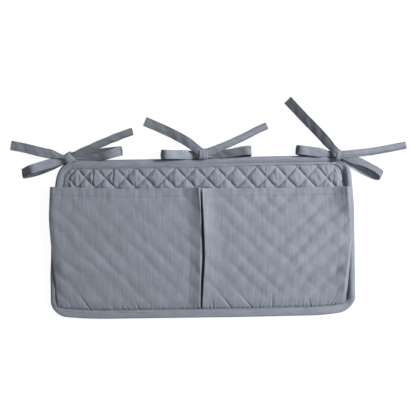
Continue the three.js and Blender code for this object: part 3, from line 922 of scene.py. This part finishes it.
def values_at(rows, place):
    """The values of a table at a place in its first column"""
    return [through([(row[0], row[k]) for row in rows], place) for k in range(1, len(rows[0]))]


def front_line(pocket, y):
    """A function for the height of a pocket front at one distance up, given the distance from the middle"""
    share = climb(y)
    up = y - FOOT
    edge_out = through(pocket["outer"], y)
    rise, width, power, crest = values_at(pocket["inner_swell"], y)
    out_rise, rise_width, out_power, out_drop, drop_width = values_at(pocket["outer_swell"], y)
    out_start = edge_out - drop_width - rise_width
    above_hem = y - MOUTH + pocket["hem"]
    hem = ramp(above_hem, -3, 3)
    hem_crease = 0.45 * bell(above_hem, 1.6)

    def height(distance):
        x = pocket["side"] * distance
        u, v = lattice(x, y)
        strength = max(1 + 1.2 * ripple(x / 48, y / 48, 21.0), 0.15) * (1 - 0.55 * hem)
        strength *= 1 - pocket["fade"] * ramp(y, -60, 60)
        level = FRONT_LEVEL - hem_crease * (0.75 + ripple(x / 17, y / 17, 37.0))
        for amount, across in zip(values_at(pocket["imprint"], distance), (u + v, u - v)):
            wave = math.pi * (across + 0.4 * ripple(x / 45, y / 45, 23.0))
            level -= amount * strength * (math.cos(wave) + 0.2 * math.cos(2 * wave))
        level += 0.8 * ripple(x / 85, y / 70, 25.0) + 0.2 * ripple(x / 14, y / 26, 27.0)
        level += 0.8 * ripple(x / 10, y / 40, 29.0) * ramp(above_hem, -15, 0)
        if distance > crest:
            level += rise * max(1 - (distance - crest) / width, 0) ** power
        else:
            level += rise - 0.8 * (crest - distance)
        level += out_rise * clamp((distance - out_start) / rise_width) ** out_power
        level -= out_drop * max(1 - (edge_out - distance) / drop_width, 0) ** 2
        level = SEAM_LEVEL + max((level - SEAM_LEVEL) * share, FLATTEST)
        for place, tall, depth, lean in pocket["puckers"]:
            q = (x - place - lean * up) / (1.3 + 0.13 * max(up, 0))
            if abs(q) < 3:
                fall = math.exp(-q * q - max(up, 0) / tall)
                level -= 1.5 * depth * (1 - 0.9 * q * q) * fall * ramp(up, -1, 2)
        return level + 1.1 * ripple(x / 3.4, up / 30, 33.0) * ramp(up, -1, 1.5) * (1 - ramp(up, 2, 9))

    return height


def climb(y):
    """Share of the pocket cloth's rise above its seam at the foot: up a wall, over a roll, then up a slope"""
    up = max(y - FOOT, 0)
    wall, roll = (
        share * math.sin(min(up / length, 1) * math.pi / 2) for length, share in (POCKET_WALL, POCKET_ROLL)
    )
    length, share = POCKET_SLOPE
    return wall + roll + share * ramp(up, 0, length)


def seam_side(y):
    """Half-width of the panel inside its binding"""
    radius = BOTTOM_CORNER - SEAM_INSET
    below = min(max(FOOT + radius - y, 0), radius)
    return PANEL_SIDE - SEAM_INSET - radius + math.sqrt(radius ** 2 - below ** 2)


def arc(x, z, radius, start, end):
    """Points of a fold, without its two ends"""
    angles = [math.radians(mix(start, end, step / FOLD_CELLS)) for step in range(1, FOLD_CELLS)]
    return [(x + radius * math.cos(a), z + radius * math.sin(a)) for a in angles]


def leg(start, end, cells):
    return [(mix(start[0], end[0], k / cells), mix(start[1], end[1], k / cells)) for k in range(cells + 1)]


def tucked(points, top, deep):
    """A leg of a pleat, kept under the front"""
    kept = []
    for k, (x, z) in enumerate(points):
        sag = 0.4 * math.sin(math.pi * k / (len(points) - 1))
        kept.append((x, min(z, top(x) - deep - sag)))
    return kept


def pocket_section(pocket, y):
    """The pocket cloth across one height, from the middle seam to the side seam, as (distance, height)"""
    fold = FOLD_RADIUS * max(climb(y), 0.12)
    edge_in = through(pocket["inner"], y)
    edge_out = through(pocket["outer"], y)
    top = front_line(pocket, y)
    seam_out = seam_side(y)
    fold_in = PLEAT_SEAM + PLEAT_DEPTH
    fold_out = seam_out - PLEAT_DEPTH
    high_in = max(top(edge_in + fold), SEAM_LEVEL + 2.4 * fold)
    high_out = max(top(edge_out - fold), SEAM_LEVEL + 2.4 * fold)
    half_in = (SEAM_LEVEL + min(high_in, top(fold_in))) / 2
    half_out = (SEAM_LEVEL + min(high_out, top(fold_out))) / 2
    points = leg((PLEAT_SEAM, SEAM_LEVEL), (fold_in - fold, half_in - fold), LEG_CELLS)
    points += arc(fold_in - fold, half_in, fold, -90, 90)
    upper = leg((fold_in - fold, half_in + fold), (edge_in + fold, high_in - 2 * fold), LEG_CELLS)
    points += tucked(upper, top, 2 * fold)
    points += arc(edge_in + fold, high_in - fold, fold, 270, 90)
    for cell in range(FRONT_CELLS + 1):
        distance = mix(edge_in + fold, edge_out - fold, cell / FRONT_CELLS)
        points.append((distance, top(distance)))
    points += arc(edge_out - fold, high_out - fold, fold, 90, -90)
    upper = leg((edge_out - fold, high_out - 2 * fold), (fold_out + fold, half_out + fold), LEG_CELLS)
    points += tucked(upper, top, 2 * fold)
    points += arc(fold_out + fold, half_out, fold, 90, 270)
    points += leg((fold_out + fold, half_out - fold), (seam_out, SEAM_LEVEL), LEG_CELLS)
    points.append((seam_out + BINDING_WIDTH / 2, SEAM_LEVEL))
    return points


def pocket_rows(hem_width):
    """(height, step inwards) of each row of the pocket cloth, over its mouth and down the hem inside"""
    rows = [(FOOT - 9, 0), (FOOT - 4, 0)]
    rows += [(FOOT + 1.6 * k, 0) for k in range(14)]
    start = rows[-1][0]
    hem = MOUTH - hem_width
    rows += [(mix(start, hem - 2.1, k / 74), 0) for k in range(1, 75)]
    rows += [(hem + 0.7 * k, 0) for k in range(-2, 3)]
    rows += [(mix(hem + 1.4, MOUTH - HEM_STEP, k / 7), 0) for k in range(1, 8)]
    for degrees in (45, 90, 135, 180):
        angle = math.radians(degrees)
        rows.append((MOUTH - HEM_STEP + HEM_STEP * math.sin(angle), HEM_STEP * (1 - math.cos(angle)) / 2))
    rows += [(mix(MOUTH - HEM_STEP, hem, k / 7), HEM_STEP) for k in range(1, 8)]
    return rows


def stepped_in(points, step):
    """A section moved towards the inside of the pocket"""
    if step == 0:
        return points
    moved = []
    for k, (x, z) in enumerate(points):
        before = points[max(k - 1, 0)]
        after = points[min(k + 1, len(points) - 1)]
        across = Vector((after[0] - before[0], after[1] - before[1])).normalized()
        moved.append((x + step * across.y, z - step * across.x))
    return moved


def mouth_line(pocket, distance):
    """Height of a pocket's mouth at a distance from the middle"""
    inner, halfway, outer = pocket["mouth"]
    return through([(0, inner), (PANEL_SIDE / 2, halfway), (PANEL_SIDE, outer)], distance)


def tilted_mouth(pocket, distance, y):
    """A pocket's height with the tilt of its mouth worked in"""
    share = clamp((y - FOOT) / (MOUTH - FOOT))
    return y + (mouth_line(pocket, distance) - MOUTH) * share ** 2


def pocket_cloth(name):
    """A pocket's whole strip of cloth: front, turned hem and the pleats that fold in under both edges"""
    pocket = POCKETS[name]
    side = pocket["side"]
    rows = pocket_rows(pocket["hem"])
    sections = [stepped_in(pocket_section(pocket, y), step) for y, step in rows]
    across = reaches(math.dist(p, q) for p, q in pairwise(sections[len(rows) // 2]))
    up = reaches(math.dist(p, q) for p, q in pairwise(rows))

    def point(column, row):
        distance, height = sections[row][column]
        y = tilted_mouth(pocket, distance, rows[row][0])
        foot = lie(side * distance, min(y, 0))[1] - min(y, 0)
        return side * distance, y + foot, height

    def flat(column, row):
        return across[column], up[row]

    bm = cloth_grid(len(across) - 1, len(rows) - 1, point, flat, flip=side < 0)
    piece = new_piece(f"{name}_pocket_cloth", bm, SLATE_COTTON)
    thicken(piece, POCKET_CLOTH)
    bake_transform(piece)
    nodes = ("pocket_front", "pocket_hem", "outer_pleat", "inner_pleat")
    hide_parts(*(f"{name}_{node}" for node in nodes))
    if side > 0:
        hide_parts("pocket_seam_allowance")


def hem_stitches(name):
    """The line of stitching that holds a pocket's hem"""
    pocket = POCKETS[name]
    y = MOUTH - pocket["hem"]
    height = front_line(pocket, y)
    start = through(pocket["inner"], y) + 2
    end = through(pocket["outer"], y) - 2
    line = []
    for step in range(HEM_STEPS + 1):
        distance = mix(start, end, step / HEM_STEPS)
        above = height(distance) + POCKET_CLOTH / 2 + 0.08
        line.append(Vector((pocket["side"] * distance, tilted_mouth(pocket, distance, y), above)))
    bm = bmesh.new()
    for place, direction in stitch_places(line):
        stitch(bm, place, direction)
    fasten(new_piece(f"{name}_hem_stitches", bm, SEWING_THREAD), f"{name}_pocket", "slate_cotton")


def divider():
    """The strip between the pockets, sewn down along the middle"""
    columns, rows = DIVIDER_CELLS

    def flat(column, row):
        x = mix(DIVIDER_LOW.x, DIVIDER_HIGH.x, column / columns)
        return x, mix(DIVIDER_LOW.y, DIVIDER_HIGH.y, row / rows)

    def point(column, row):
        x, y = flat(column, row)
        return x, y, SEAM_LEVEL + 0.25 * abs(2 * column / columns - 1) + 0.1 * ripple(x / 5, y / 5, 31.0)

    piece = new_piece("pocket_divider_strip", cloth_grid(columns, rows, point, flat), SLATE_COTTON)
    thicken(piece, POCKET_CLOTH)
    fasten(piece, "panel", "slate_cotton", "pocket_divider")
    bm = bmesh.new()
    for place, direction in stitch_places([
        Vector((0, y, SEAM_LEVEL + 0.4)) for y in (DIVIDER_LOW.y, DIVIDER_HIGH.y)
    ]):
        stitch(bm, place, direction)
    fasten(new_piece("divider_stitches", bm, SEWING_THREAD), "panel", "slate_cotton")


# Ties

# Loops: turn from +X in degrees, tones of painted light and shade on the cloth's side that shows and on its
# inside (the inside's tone is painted shade, and painted light where it lightens a shadow), how far the strap is
# bent up along its middle, then points out over the top and back underneath to the knot, as (distance from the
# knot, height, shift aside, roll of the strap in degrees).
# Tails: points from the knot's middle with heights over the surface, then the roll of the free end in degrees,
# the width at the knot, the width at the free end, where the edges may curl under, and the tone of painted light
# and shade, darker for ends that lie in shade.
TIES = {
    "left": {
        "loops": {
            "left": (197, (1.08, 0.6), 0.2, [
                (4.5, 14.6, 0, 0), (18, 12, 0, 0), (42, 16, -1, 4), (65, 20, -1, 8), (72.5, 18.5, -1, 6),
                (84, 8, 0, 2), (90, 3, 1, 0), (85, 1.6, 2.5, 0), (62, 2.2, 4.5, 0), (32, 6.5, 3, 0),
                (10, 11, 1, 0),
            ]),
            "right": (7, (0.84, 0.5), 0.2, [
                (4.5, 14.6, 0, 20), (16, 10.5, -2, 40), (32, 11, -4.5, 44), (50, 13, -5.5, 38), (66, 19, -5, 24),
                (79, 20, -3.2, 10), (90, 12, -1, 4), (96, 5, 0, 0), (92, 1.6, 1, 0), (65, 2.0, 2, 0),
                (35, 5.5, 1.5, 5), (12, 10, 0, 5),
            ]),
        },
        "tails": {
            "left": ([(-26, 6.2, 17), (-50, 11.4, 13), (-82.4, 20, 5.5), (-106.5, 25, 1.1)], -4, 7, 17.4, 1.1),
            "right": ([(47.9, 20.1, 18), (75.2, 31.9, 14), (98, 41, 9.5), (115.6, 47.2, 6.2)], 34, 14, 16, 0.62),
        },
        "knot_turn": -58,
        "wrap_width": 17,
        "loop_neck": 13,
    },
    "centre": {
        "loops": {
            "left": (179, (1.1, 0.8), 0.2, [
                (4.5, 14.8, 0, 0), (15, 8.5, 1, 0), (30, 12.5, 1.5, 4), (50, 19.5, 1.5, 8), (66, 24, 1.5, 6),
                (73, 18, 1, 3), (76, 9, 1, 0), (73, 3, 1, 0), (50, 2, 4, 0), (25, 6, 3.5, 0), (10, 10.5, 1, 0),
            ]),
            "right": (1.5, (0.76, 0.45), 0.2, [
                (4.5, 14.6, 0, 8), (16, 10, -1, 22), (34, 13, -1.5, 28), (52, 17.5, 0, 26), (68, 21.5, 2, 20),
                (80, 23.5, 3.2, 12), (86, 18, 2.8, 6), (86.5, 8, 1.5, 4), (80, 2.6, -1, 4), (60, 2.6, -3.5, 4),
                (30, 6, -3.5, 4), (10, 11, -1, 3),
            ]),
        },
        "tails": {
            "left": ([(-31.5, 24.2, 14), (-67.4, 44, 5), (-105.2, 61.2, 1.6)], -12, 15.5, 17.4, 0.86),
            "right": ([(40, 14.6, 15), (76.4, 31, 8), (98, 42, 4), (116.5, 50, 2.2)], 10, 13.5, 13.4, 0.86),
        },
        "knot_turn": 0,
        "wrap_width": 17,
        "loop_neck": 13.5,
    },
    "right": {
        "loops": {
            "left": (172, (0.84, 0.5), 0.2, [
                (4.5, 14.8, 0, 0), (14, 10, 0, 0), (30, 13, 0, -4), (50, 16.5, 0, -6), (67, 19.5, 0, -4),
                (74, 16, 0, -4), (76, 9, 0, -2), (72, 2.8, 1, 0), (50, 2.2, 5, 0), (25, 6.5, 4, 0),
                (10, 10.5, 1.5, 0),
            ]),
            "right": (-27, (0.72, 1.9), 0.6, [
                (4.5, 14.6, 0, 0), (18, 13.5, 1.5, 0), (40, 13.5, 6, -22), (62, 13.5, 7.4, -42),
                (77, 13, 6, -48), (85.5, 10.5, 4, -36), (87, 6, 0, -14), (80, 2.2, -2.6, 0), (58, 2.4, -3.6, 0),
                (32, 6.5, -3, 0), (10, 11.5, -0.5, 0),
            ]),
        },
        "tails": {
            "left": ([(-32, 37.5, 14), (-58.8, 66.9, 9), (-89.4, 101.2, 5.6)], -32, 15, 18.6, 0.66),
            "right": ([(30, 2, 15), (62, 5.4, 9), (95, 10.9, 4.2), (124.4, 16.2, 1.8)], 10, 13, 13.8, 0.85),
        },
        "knot_turn": -10,
        "wrap_width": 8.5,
        "loop_neck": 9,
    },
}
LOOP_END = (4.5, 12.6, 0, 0)


def strap_width(distance, neck=TIE_NECK):
    """Bunched at the knot, then flat"""
    return mix(neck, TIE_WIDTH, ramp(distance, 0, TIE_SPREAD))


def strap_ring(width, cup):
    """Outline of a strap's section, as (across, up): flat faces, round edges, bent up along its middle"""
    half = TIE_CLOTH / 2
    flat = width / 2 - half
    ring = []
    for face in (1, -1):
        for k in range(STRAP_CELLS + 1):
            ring.append((mix(face * flat, -face * flat, k / STRAP_CELLS), face * half))
        for out, up in ((0.7, 0.7), (1, 0), (0.7, -0.7)):
            ring.append((-face * (flat + out * half), face * up * half))
    return [(c, n + cup * (1 - (2 * c / width) ** 2)) for c, n in ring]


def strap_stations(line, across=None, rolls=None):
    """(place, sideways, up) along a strap's middle line, level where no direction across or roll is given"""
    stations = []
    last = len(line) - 1
    for k, place in enumerate(line):
        along = (line[min(k + 1, last)] - line[max(k - 1, 0)]).normalized()
        level = across[k] if across else Vector((-along.y, along.x, 0)).normalized()
        sideways = (level - along * level.dot(along)).normalized()
        if rolls:
            sideways = Matrix.Rotation(math.radians(rolls[k]), 3, along) @ sideways
        stations.append((place, sideways, along.cross(sideways)))
    return stations


def strap_mesh(stations, widths, cups, gathers, seam=0, wrinkle=0.45):
    """A strap through its stations, closed at both ends, gathered where it is narrow, drawn in along its seam"""
    rings = [strap_ring(width, cup) for width, cup in zip(widths, cups)]
    count = len(rings[0])
    reach = reaches((q[0] - p[0]).length for p, q in pairwise(stations))
    widest = max(rings, key=lambda ring: ring[0][0])
    around = reaches(math.dist(p, q) for p, q in pairwise(widest + widest[:1]))

    def point(column, row):
        place, sideways, up = stations[row]
        c, n = rings[row][column % count]
        n += wrinkle * ripple(place.x / 8 + c / 11, place.y / 8, place.z / 8)
        n += 2.4 * wrinkle * ripple(reach[row] / 13 + c / 16, c / 19, place.x / 40) * ramp(reach[row], 8, 30)
        n += gathers[row] * math.cos(5 * math.pi * c / widths[row])
        if seam and abs(c) < widths[row] / 2 - TIE_CLOTH / 2 + 0.01:
            face = 1 if column % count <= STRAP_CELLS else -1
            n -= face * SEAM_PULL * bell(c - seam * (widths[row] / 2 - SEAM_EDGE), 1.1)
        found = place + c * sideways + n * up
        found.z = max(found.z, 0.1)
        return found

    def flat(column, row):
        return around[column], reach[row]

    bm = cloth_grid(count, len(stations) - 1, point, flat)
    weld(bm)
    bmesh.ops.holes_fill(bm, edges=[e for e in bm.edges if e.is_boundary], sides=0)
    bmesh.ops.recalc_face_normals(bm, faces=bm.faces[:])
    return bm


def strap_stitches(bm, stations, widths, cups, side):
    """Adds the line of stitching along a strap's closed edge, on both of its faces"""
    for face in (-1, 1):
        line = []
        for (place, sideways, up), width, cup in zip(stations, widths, cups):
            c = side * (width / 2 - SEAM_EDGE)
            n = face * (TIE_CLOTH / 2 + 0.1 - SEAM_PULL) + cup * (1 - (2 * c / width) ** 2)
            line.append(place + c * sideways + n * up)
            line[-1].z = max(line[-1].z, 0.5)
        for place, direction in stitch_places(line):
            *_, up = min(stations, key=lambda station: (station[0] - place).length)
            stitch(bm, place, direction, face * up)


def knot_middle(name):
    low, high = node_box(f"{name}_tie_knot")
    return Vector(((low.x + high.x) / 2, (low.y + high.y) / 2, 0))


def set_painted_shade(piece, tone, inside=None):
    """Painted light and shade in a tie piece's colour: the tone of the side that shows, and on its second half
    the tone of its inside, which stands in for the shade there
    """
    values = [tone] * len(piece.data.vertices)
    places = [place.vector.y for place in piece.data.uv_layers["weave"].uv]
    halfway = max(places) / 2
    for corner, place in zip(piece.data.loops, places):
        if inside and place > halfway:
            values[corner.vertex_index] = inside
    layer = piece.data.attributes.new("tone", "FLOAT", "POINT")
    layer.data.foreach_set("value", values)


def strap_piece(name, bm, stitched, node, *tones):
    """A strap with its stitching in one mesh, thread as its second material"""
    cloth_faces = len(bm.faces)
    strap_stitches(bm, *stitched)
    bm.faces.ensure_lookup_table()
    for index in range(cloth_faces, len(bm.faces)):
        bm.faces[index].material_index = 1
    piece = new_piece(name, bm, TIE_COTTON, SEWING_THREAD)
    piece.data.set_sharp_from_angle(angle=STRAP_CREASE)
    # Painted light and shade: the tone attribute darkens or lightens the strap's colour where shade or light
    # falls on it
    set_painted_shade(piece, *tones)
    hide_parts(node)
    return piece


def tie_tail(name, side):
    """A free end of a bow, out of the knot and down to the surface"""
    points, tilt, neck, end_width, tone = TIES[name]["tails"][side]
    middle = knot_middle(name)
    outwards = Vector((points[0][0], points[0][1], 0)).normalized()
    inside = outwards * (KNOT_RADIUS - 8) + Vector((0, 0, TAIL_KNOT_HEIGHT - 1.2))
    exit_point = outwards * (KNOT_RADIUS + 0.3) + Vector((0, 0, TAIL_KNOT_HEIGHT))
    line = [middle + p for p in smooth_line([inside, exit_point, *points], TAIL_CELLS)]
    length = line_length(line)
    shares = [k / TAIL_CELLS for k in range(TAIL_CELLS + 1)]
    rolls = [tilt * ramp(share, 0, 0.12) for share in shares]
    narrowing = [mix(1, end_width / TIE_WIDTH, ramp(share, 0.05, 0.3)) for share in shares]
    widths = [strap_width(share * length - 8, neck) * narrow for share, narrow in zip(shares, narrowing)]
    curled = 0.36 * math.sqrt(max(TIE_WIDTH ** 2 - end_width ** 2, 0))
    bunched = (TIE_WIDTH - max(neck, TIE_NECK)) / (TIE_WIDTH - TIE_NECK)
    cups = [mix(0.8 + 1.4 * bunched, 0.35 + curled, ramp(share, 0.02, 0.5)) for share in shares]
    gathers = [0.7 * bunched * (1 - ramp(share, 0.05, 0.32)) for share in shares]
    stations = strap_stations(line, rolls=rolls)
    bm = strap_mesh(stations, widths, cups, gathers, seam=-1)
    node = f"{name}_tie_{side}_tail"
    piece = strap_piece(f"{name}_bow_{side}_end", bm, (stations, widths, cups, -1), node, tone)
    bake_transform(piece)
    return piece, line, length


def tie_loop(name, side):
    """A loop of a bow: out over the top, round its end and back underneath"""
    turn, tones, bent, points = TIES[name]["loops"][side]
    points = [*points, LOOP_END]
    middle = knot_middle(name)
    outwards = heading(turn).to_3d()
    across = Vector((-outwards.y, outwards.x, 0))
    line = smooth_line([
        middle + out * outwards + aside * across + height * UP for out, height, aside, _ in points
    ], LOOP_CELLS)
    rolls = [(k / (len(points) - 1), roll) for k, (*_, roll) in enumerate(points)]
    sideways = []
    for k in range(LOOP_CELLS + 1):
        roll = math.radians(through(rolls, k / LOOP_CELLS))
        sideways.append(Matrix.Rotation(roll, 3, outwards) @ across)
    distances = [(p - middle).to_2d().length - KNOT_RADIUS for p in line]
    widths = [strap_width(d, TIES[name]["loop_neck"]) for d in distances]
    cups = [mix(1.6, bent, ramp(d, 0, 30)) for d in distances]
    gathers = [0.6 * (1 - ramp(d, 2, 28)) for d in distances]
    stations = strap_stations(line, sideways)
    bm = strap_mesh(stations, widths, cups, gathers, seam=1)
    node = f"{name}_tie_{side}_loop"
    piece = strap_piece(f"{name}_bow_{side}_loop", bm, (stations, widths, cups, 1), node, *tones)
    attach(piece, "panel")


def flattened(value, power):
    """A sine or cosine that makes a ring fuller"""
    return math.copysign(abs(value) ** power, value)


def tie_knot(name):
    """The bow's knot: a strap wrapped once round the bunched cloth"""
    middle = knot_middle(name)
    turn = Matrix.Rotation(math.radians(TIES[name]["knot_turn"]), 3, "Z")
    level = (KNOT_LOW.z + KNOT_HIGH.z) / 2
    tall = (KNOT_HIGH.z - KNOT_LOW.z) / 2
    columns, rows = KNOT_CELLS

    def placed(x, y, z):
        return middle + turn @ Vector((x, y, 0)) + Vector((0, 0, level + z))

    def core(column, row):
        angle = 2 * math.pi * column / columns
        share = 2 * row / rows - 1
        swell = math.sqrt(max(1 - abs(share) ** 3.2, 0))
        full = swell * (1 + 0.06 * math.sin(5 * angle + 3 * share) * (1 - swell ** 2))
        y = (KNOT_RADIUS - 1.6) * full * math.cos(angle)
        return placed(share * (KNOT_RADIUS + 0.2), y, (tall - 1.5) * full * math.sin(angle))

    bm = cloth_grid(columns, rows, core, lambda column, row: (column * 1.1, row * 0.9), flip=True)
    weld(bm)
    wrap = []
    widths = []
    for k in range(WRAP_CELLS + 1):
        angle = 2 * math.pi * k / WRAP_CELLS
        up = math.sin(angle - math.pi / 2)
        y = (KNOT_RADIUS - 0.9) * flattened(math.cos(angle - math.pi / 2), 0.8)
        wrap.append(placed(0.8 * up, y, (tall - 0.7) * flattened(up, 0.85)))
        widths.append(TIES[name]["wrap_width"] + 1.2 * math.cos(angle))
    stations = strap_stations(wrap, [turn @ Vector((1, 0, 0))] * len(wrap))
    strap_bm = strap_mesh(stations, widths, [0.55] * len(wrap), [0.25] * len(wrap), wrinkle=0.3)
    wrapped = bpy.data.meshes.new("wrap")
    strap_bm.to_mesh(wrapped)
    strap_bm.free()
    bm.from_mesh(wrapped)
    bpy.data.meshes.remove(wrapped)
    piece = new_piece(f"{name}_bow_knot", bm, TIE_COTTON)
    set_painted_shade(piece, 1.0)
    piece.data.set_sharp_from_angle(angle=STRAP_CREASE)
    fasten(piece, "panel", "tie_cotton", f"{name}_tie_knot")
    return piece


def tie_root(name):
    """The sewn end of a tie, up the panel's edge into the knot, and its bar tack on the binding"""
    x = knot_middle(name).x
    low, high = node_box(f"{name}_tie_root")
    y = (low.y + high.y) / 2
    line = smooth_line([(x, y, low.z + 0.8), (x, y + 0.1, 4.5), (x, y + 0.5, high.z + 2)], ROOT_CELLS)
    stations = strap_stations(line, [Vector((1, 0, 0))] * len(line))
    widths = [mix(13, TIE_NECK, k / ROOT_CELLS) for k in range(len(line))]
    even = [0.2] * len(line)
    bm = strap_mesh(stations, widths, even, even, wrinkle=0.1)
    piece = strap_piece(f"{name}_bow_root", bm, (stations, widths, even, 1), f"{name}_tie_root", 1.0)
    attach(piece, "panel")

    bm = bmesh.new()
    for row in range(TACK_ROWS):
        for k in range(TACK_STITCHES):
            spot = (x + (k - TACK_STITCHES // 2) * TACK_PITCH, PANEL_TOP - 3.4 - 1.5 * row)
            place = Vector((*lie(*spot), TACK_LEVEL))
            stitch(bm, place, Vector((1, 0.12 * (-1) ** k, 0)), thread=TACK_RADIUS)
    fasten(new_piece(f"{name}_bow_tack", bm, TACK_THREAD), "panel", "tie_cotton")
    return piece


def bow(name):
    knot = tie_knot(name)
    root = tie_root(name)
    for side in ("left", "right"):
        tie_loop(name, side)
        tail, line, length = tie_tail(name, side)


# Picture

def camera():
    """Straight above, as the organizer lies flat"""
    data = bpy.data.cameras.new("camera")
    data.lens = LENS
    data.sensor_width = SENSOR
    data.clip_end = 20
    rig = bpy.data.objects.new("camera", data)
    distance = VIEW_WIDTH * LENS / SENSOR
    rig.location = Vector((*VIEW_MIDDLE, VIEW_LEVEL + distance)) * MM
    rig.rotation_euler = (0, 0, VIEW_TURN)
    bpy.context.scene.collection.objects.link(rig)
    bpy.context.scene.camera = rig


def window():
    """A soft lamp from the right, aimed at the panel's middle"""
    data = bpy.data.lights.new("window", "AREA")
    data.shape = "DISK"
    data.size = LAMP_SIZE
    data.energy = LAMP_WATTS
    lamp = bpy.data.objects.new("window", data)
    lamp.location = LAMP_PLACE
    lamp.rotation_euler = (-Vector(LAMP_PLACE)).to_track_quat("-Z", "Y").to_euler()
    bpy.context.scene.collection.objects.link(lamp)


def studio():
    """Seamless pale floor and even light all round"""
    bm = bmesh.new()
    bmesh.ops.create_grid(bm, x_segments=1, y_segments=1, size=6)
    floor = new_piece("floor", bm, paper_floor())
    bm = bmesh.new()
    bmesh.ops.create_uvsphere(bm, u_segments=48, v_segments=24, radius=8)
    backdrop = new_piece("backdrop", bm, bright_backdrop())
    backdrop.visible_shadow = False
    for paper in (floor, backdrop):
        paper.visible_diffuse = False
        paper.visible_glossy = False
    world = bpy.data.worlds.new("room")
    world.use_nodes = True
    tree = world.node_tree
    direction = tree.nodes.new("ShaderNodeTexCoord")
    parts = tree.nodes.new("ShaderNodeSeparateXYZ")
    tree.links.new(direction.outputs["Generated"], parts.inputs[0])
    level = tree.nodes.new("ShaderNodeMapRange")
    for socket, value in zip((1, 2, 3, 4), (-0.3, 0.3, FLOOR_LIGHT, ROOM_LIGHT)):
        level.inputs[socket].default_value = value
    tree.links.new(parts.outputs["Z"], level.inputs[0])
    tree.links.new(level.outputs[0], tree.nodes["Background"].inputs["Strength"])
    tree.nodes["Background"].inputs["Color"].default_value = (1, 1, 1, 1)
    bpy.context.scene.world = world
    bpy.context.scene.view_settings.view_transform = "Standard"


camera()
studio()
window()
for tie in TIES:
    bow(tie)
quilted_pad()
quilting_stitches()
lining()
edge_binding()
for pocket_name in POCKETS:
    pocket_cloth(pocket_name)
    hem_stitches(pocket_name)
divider()
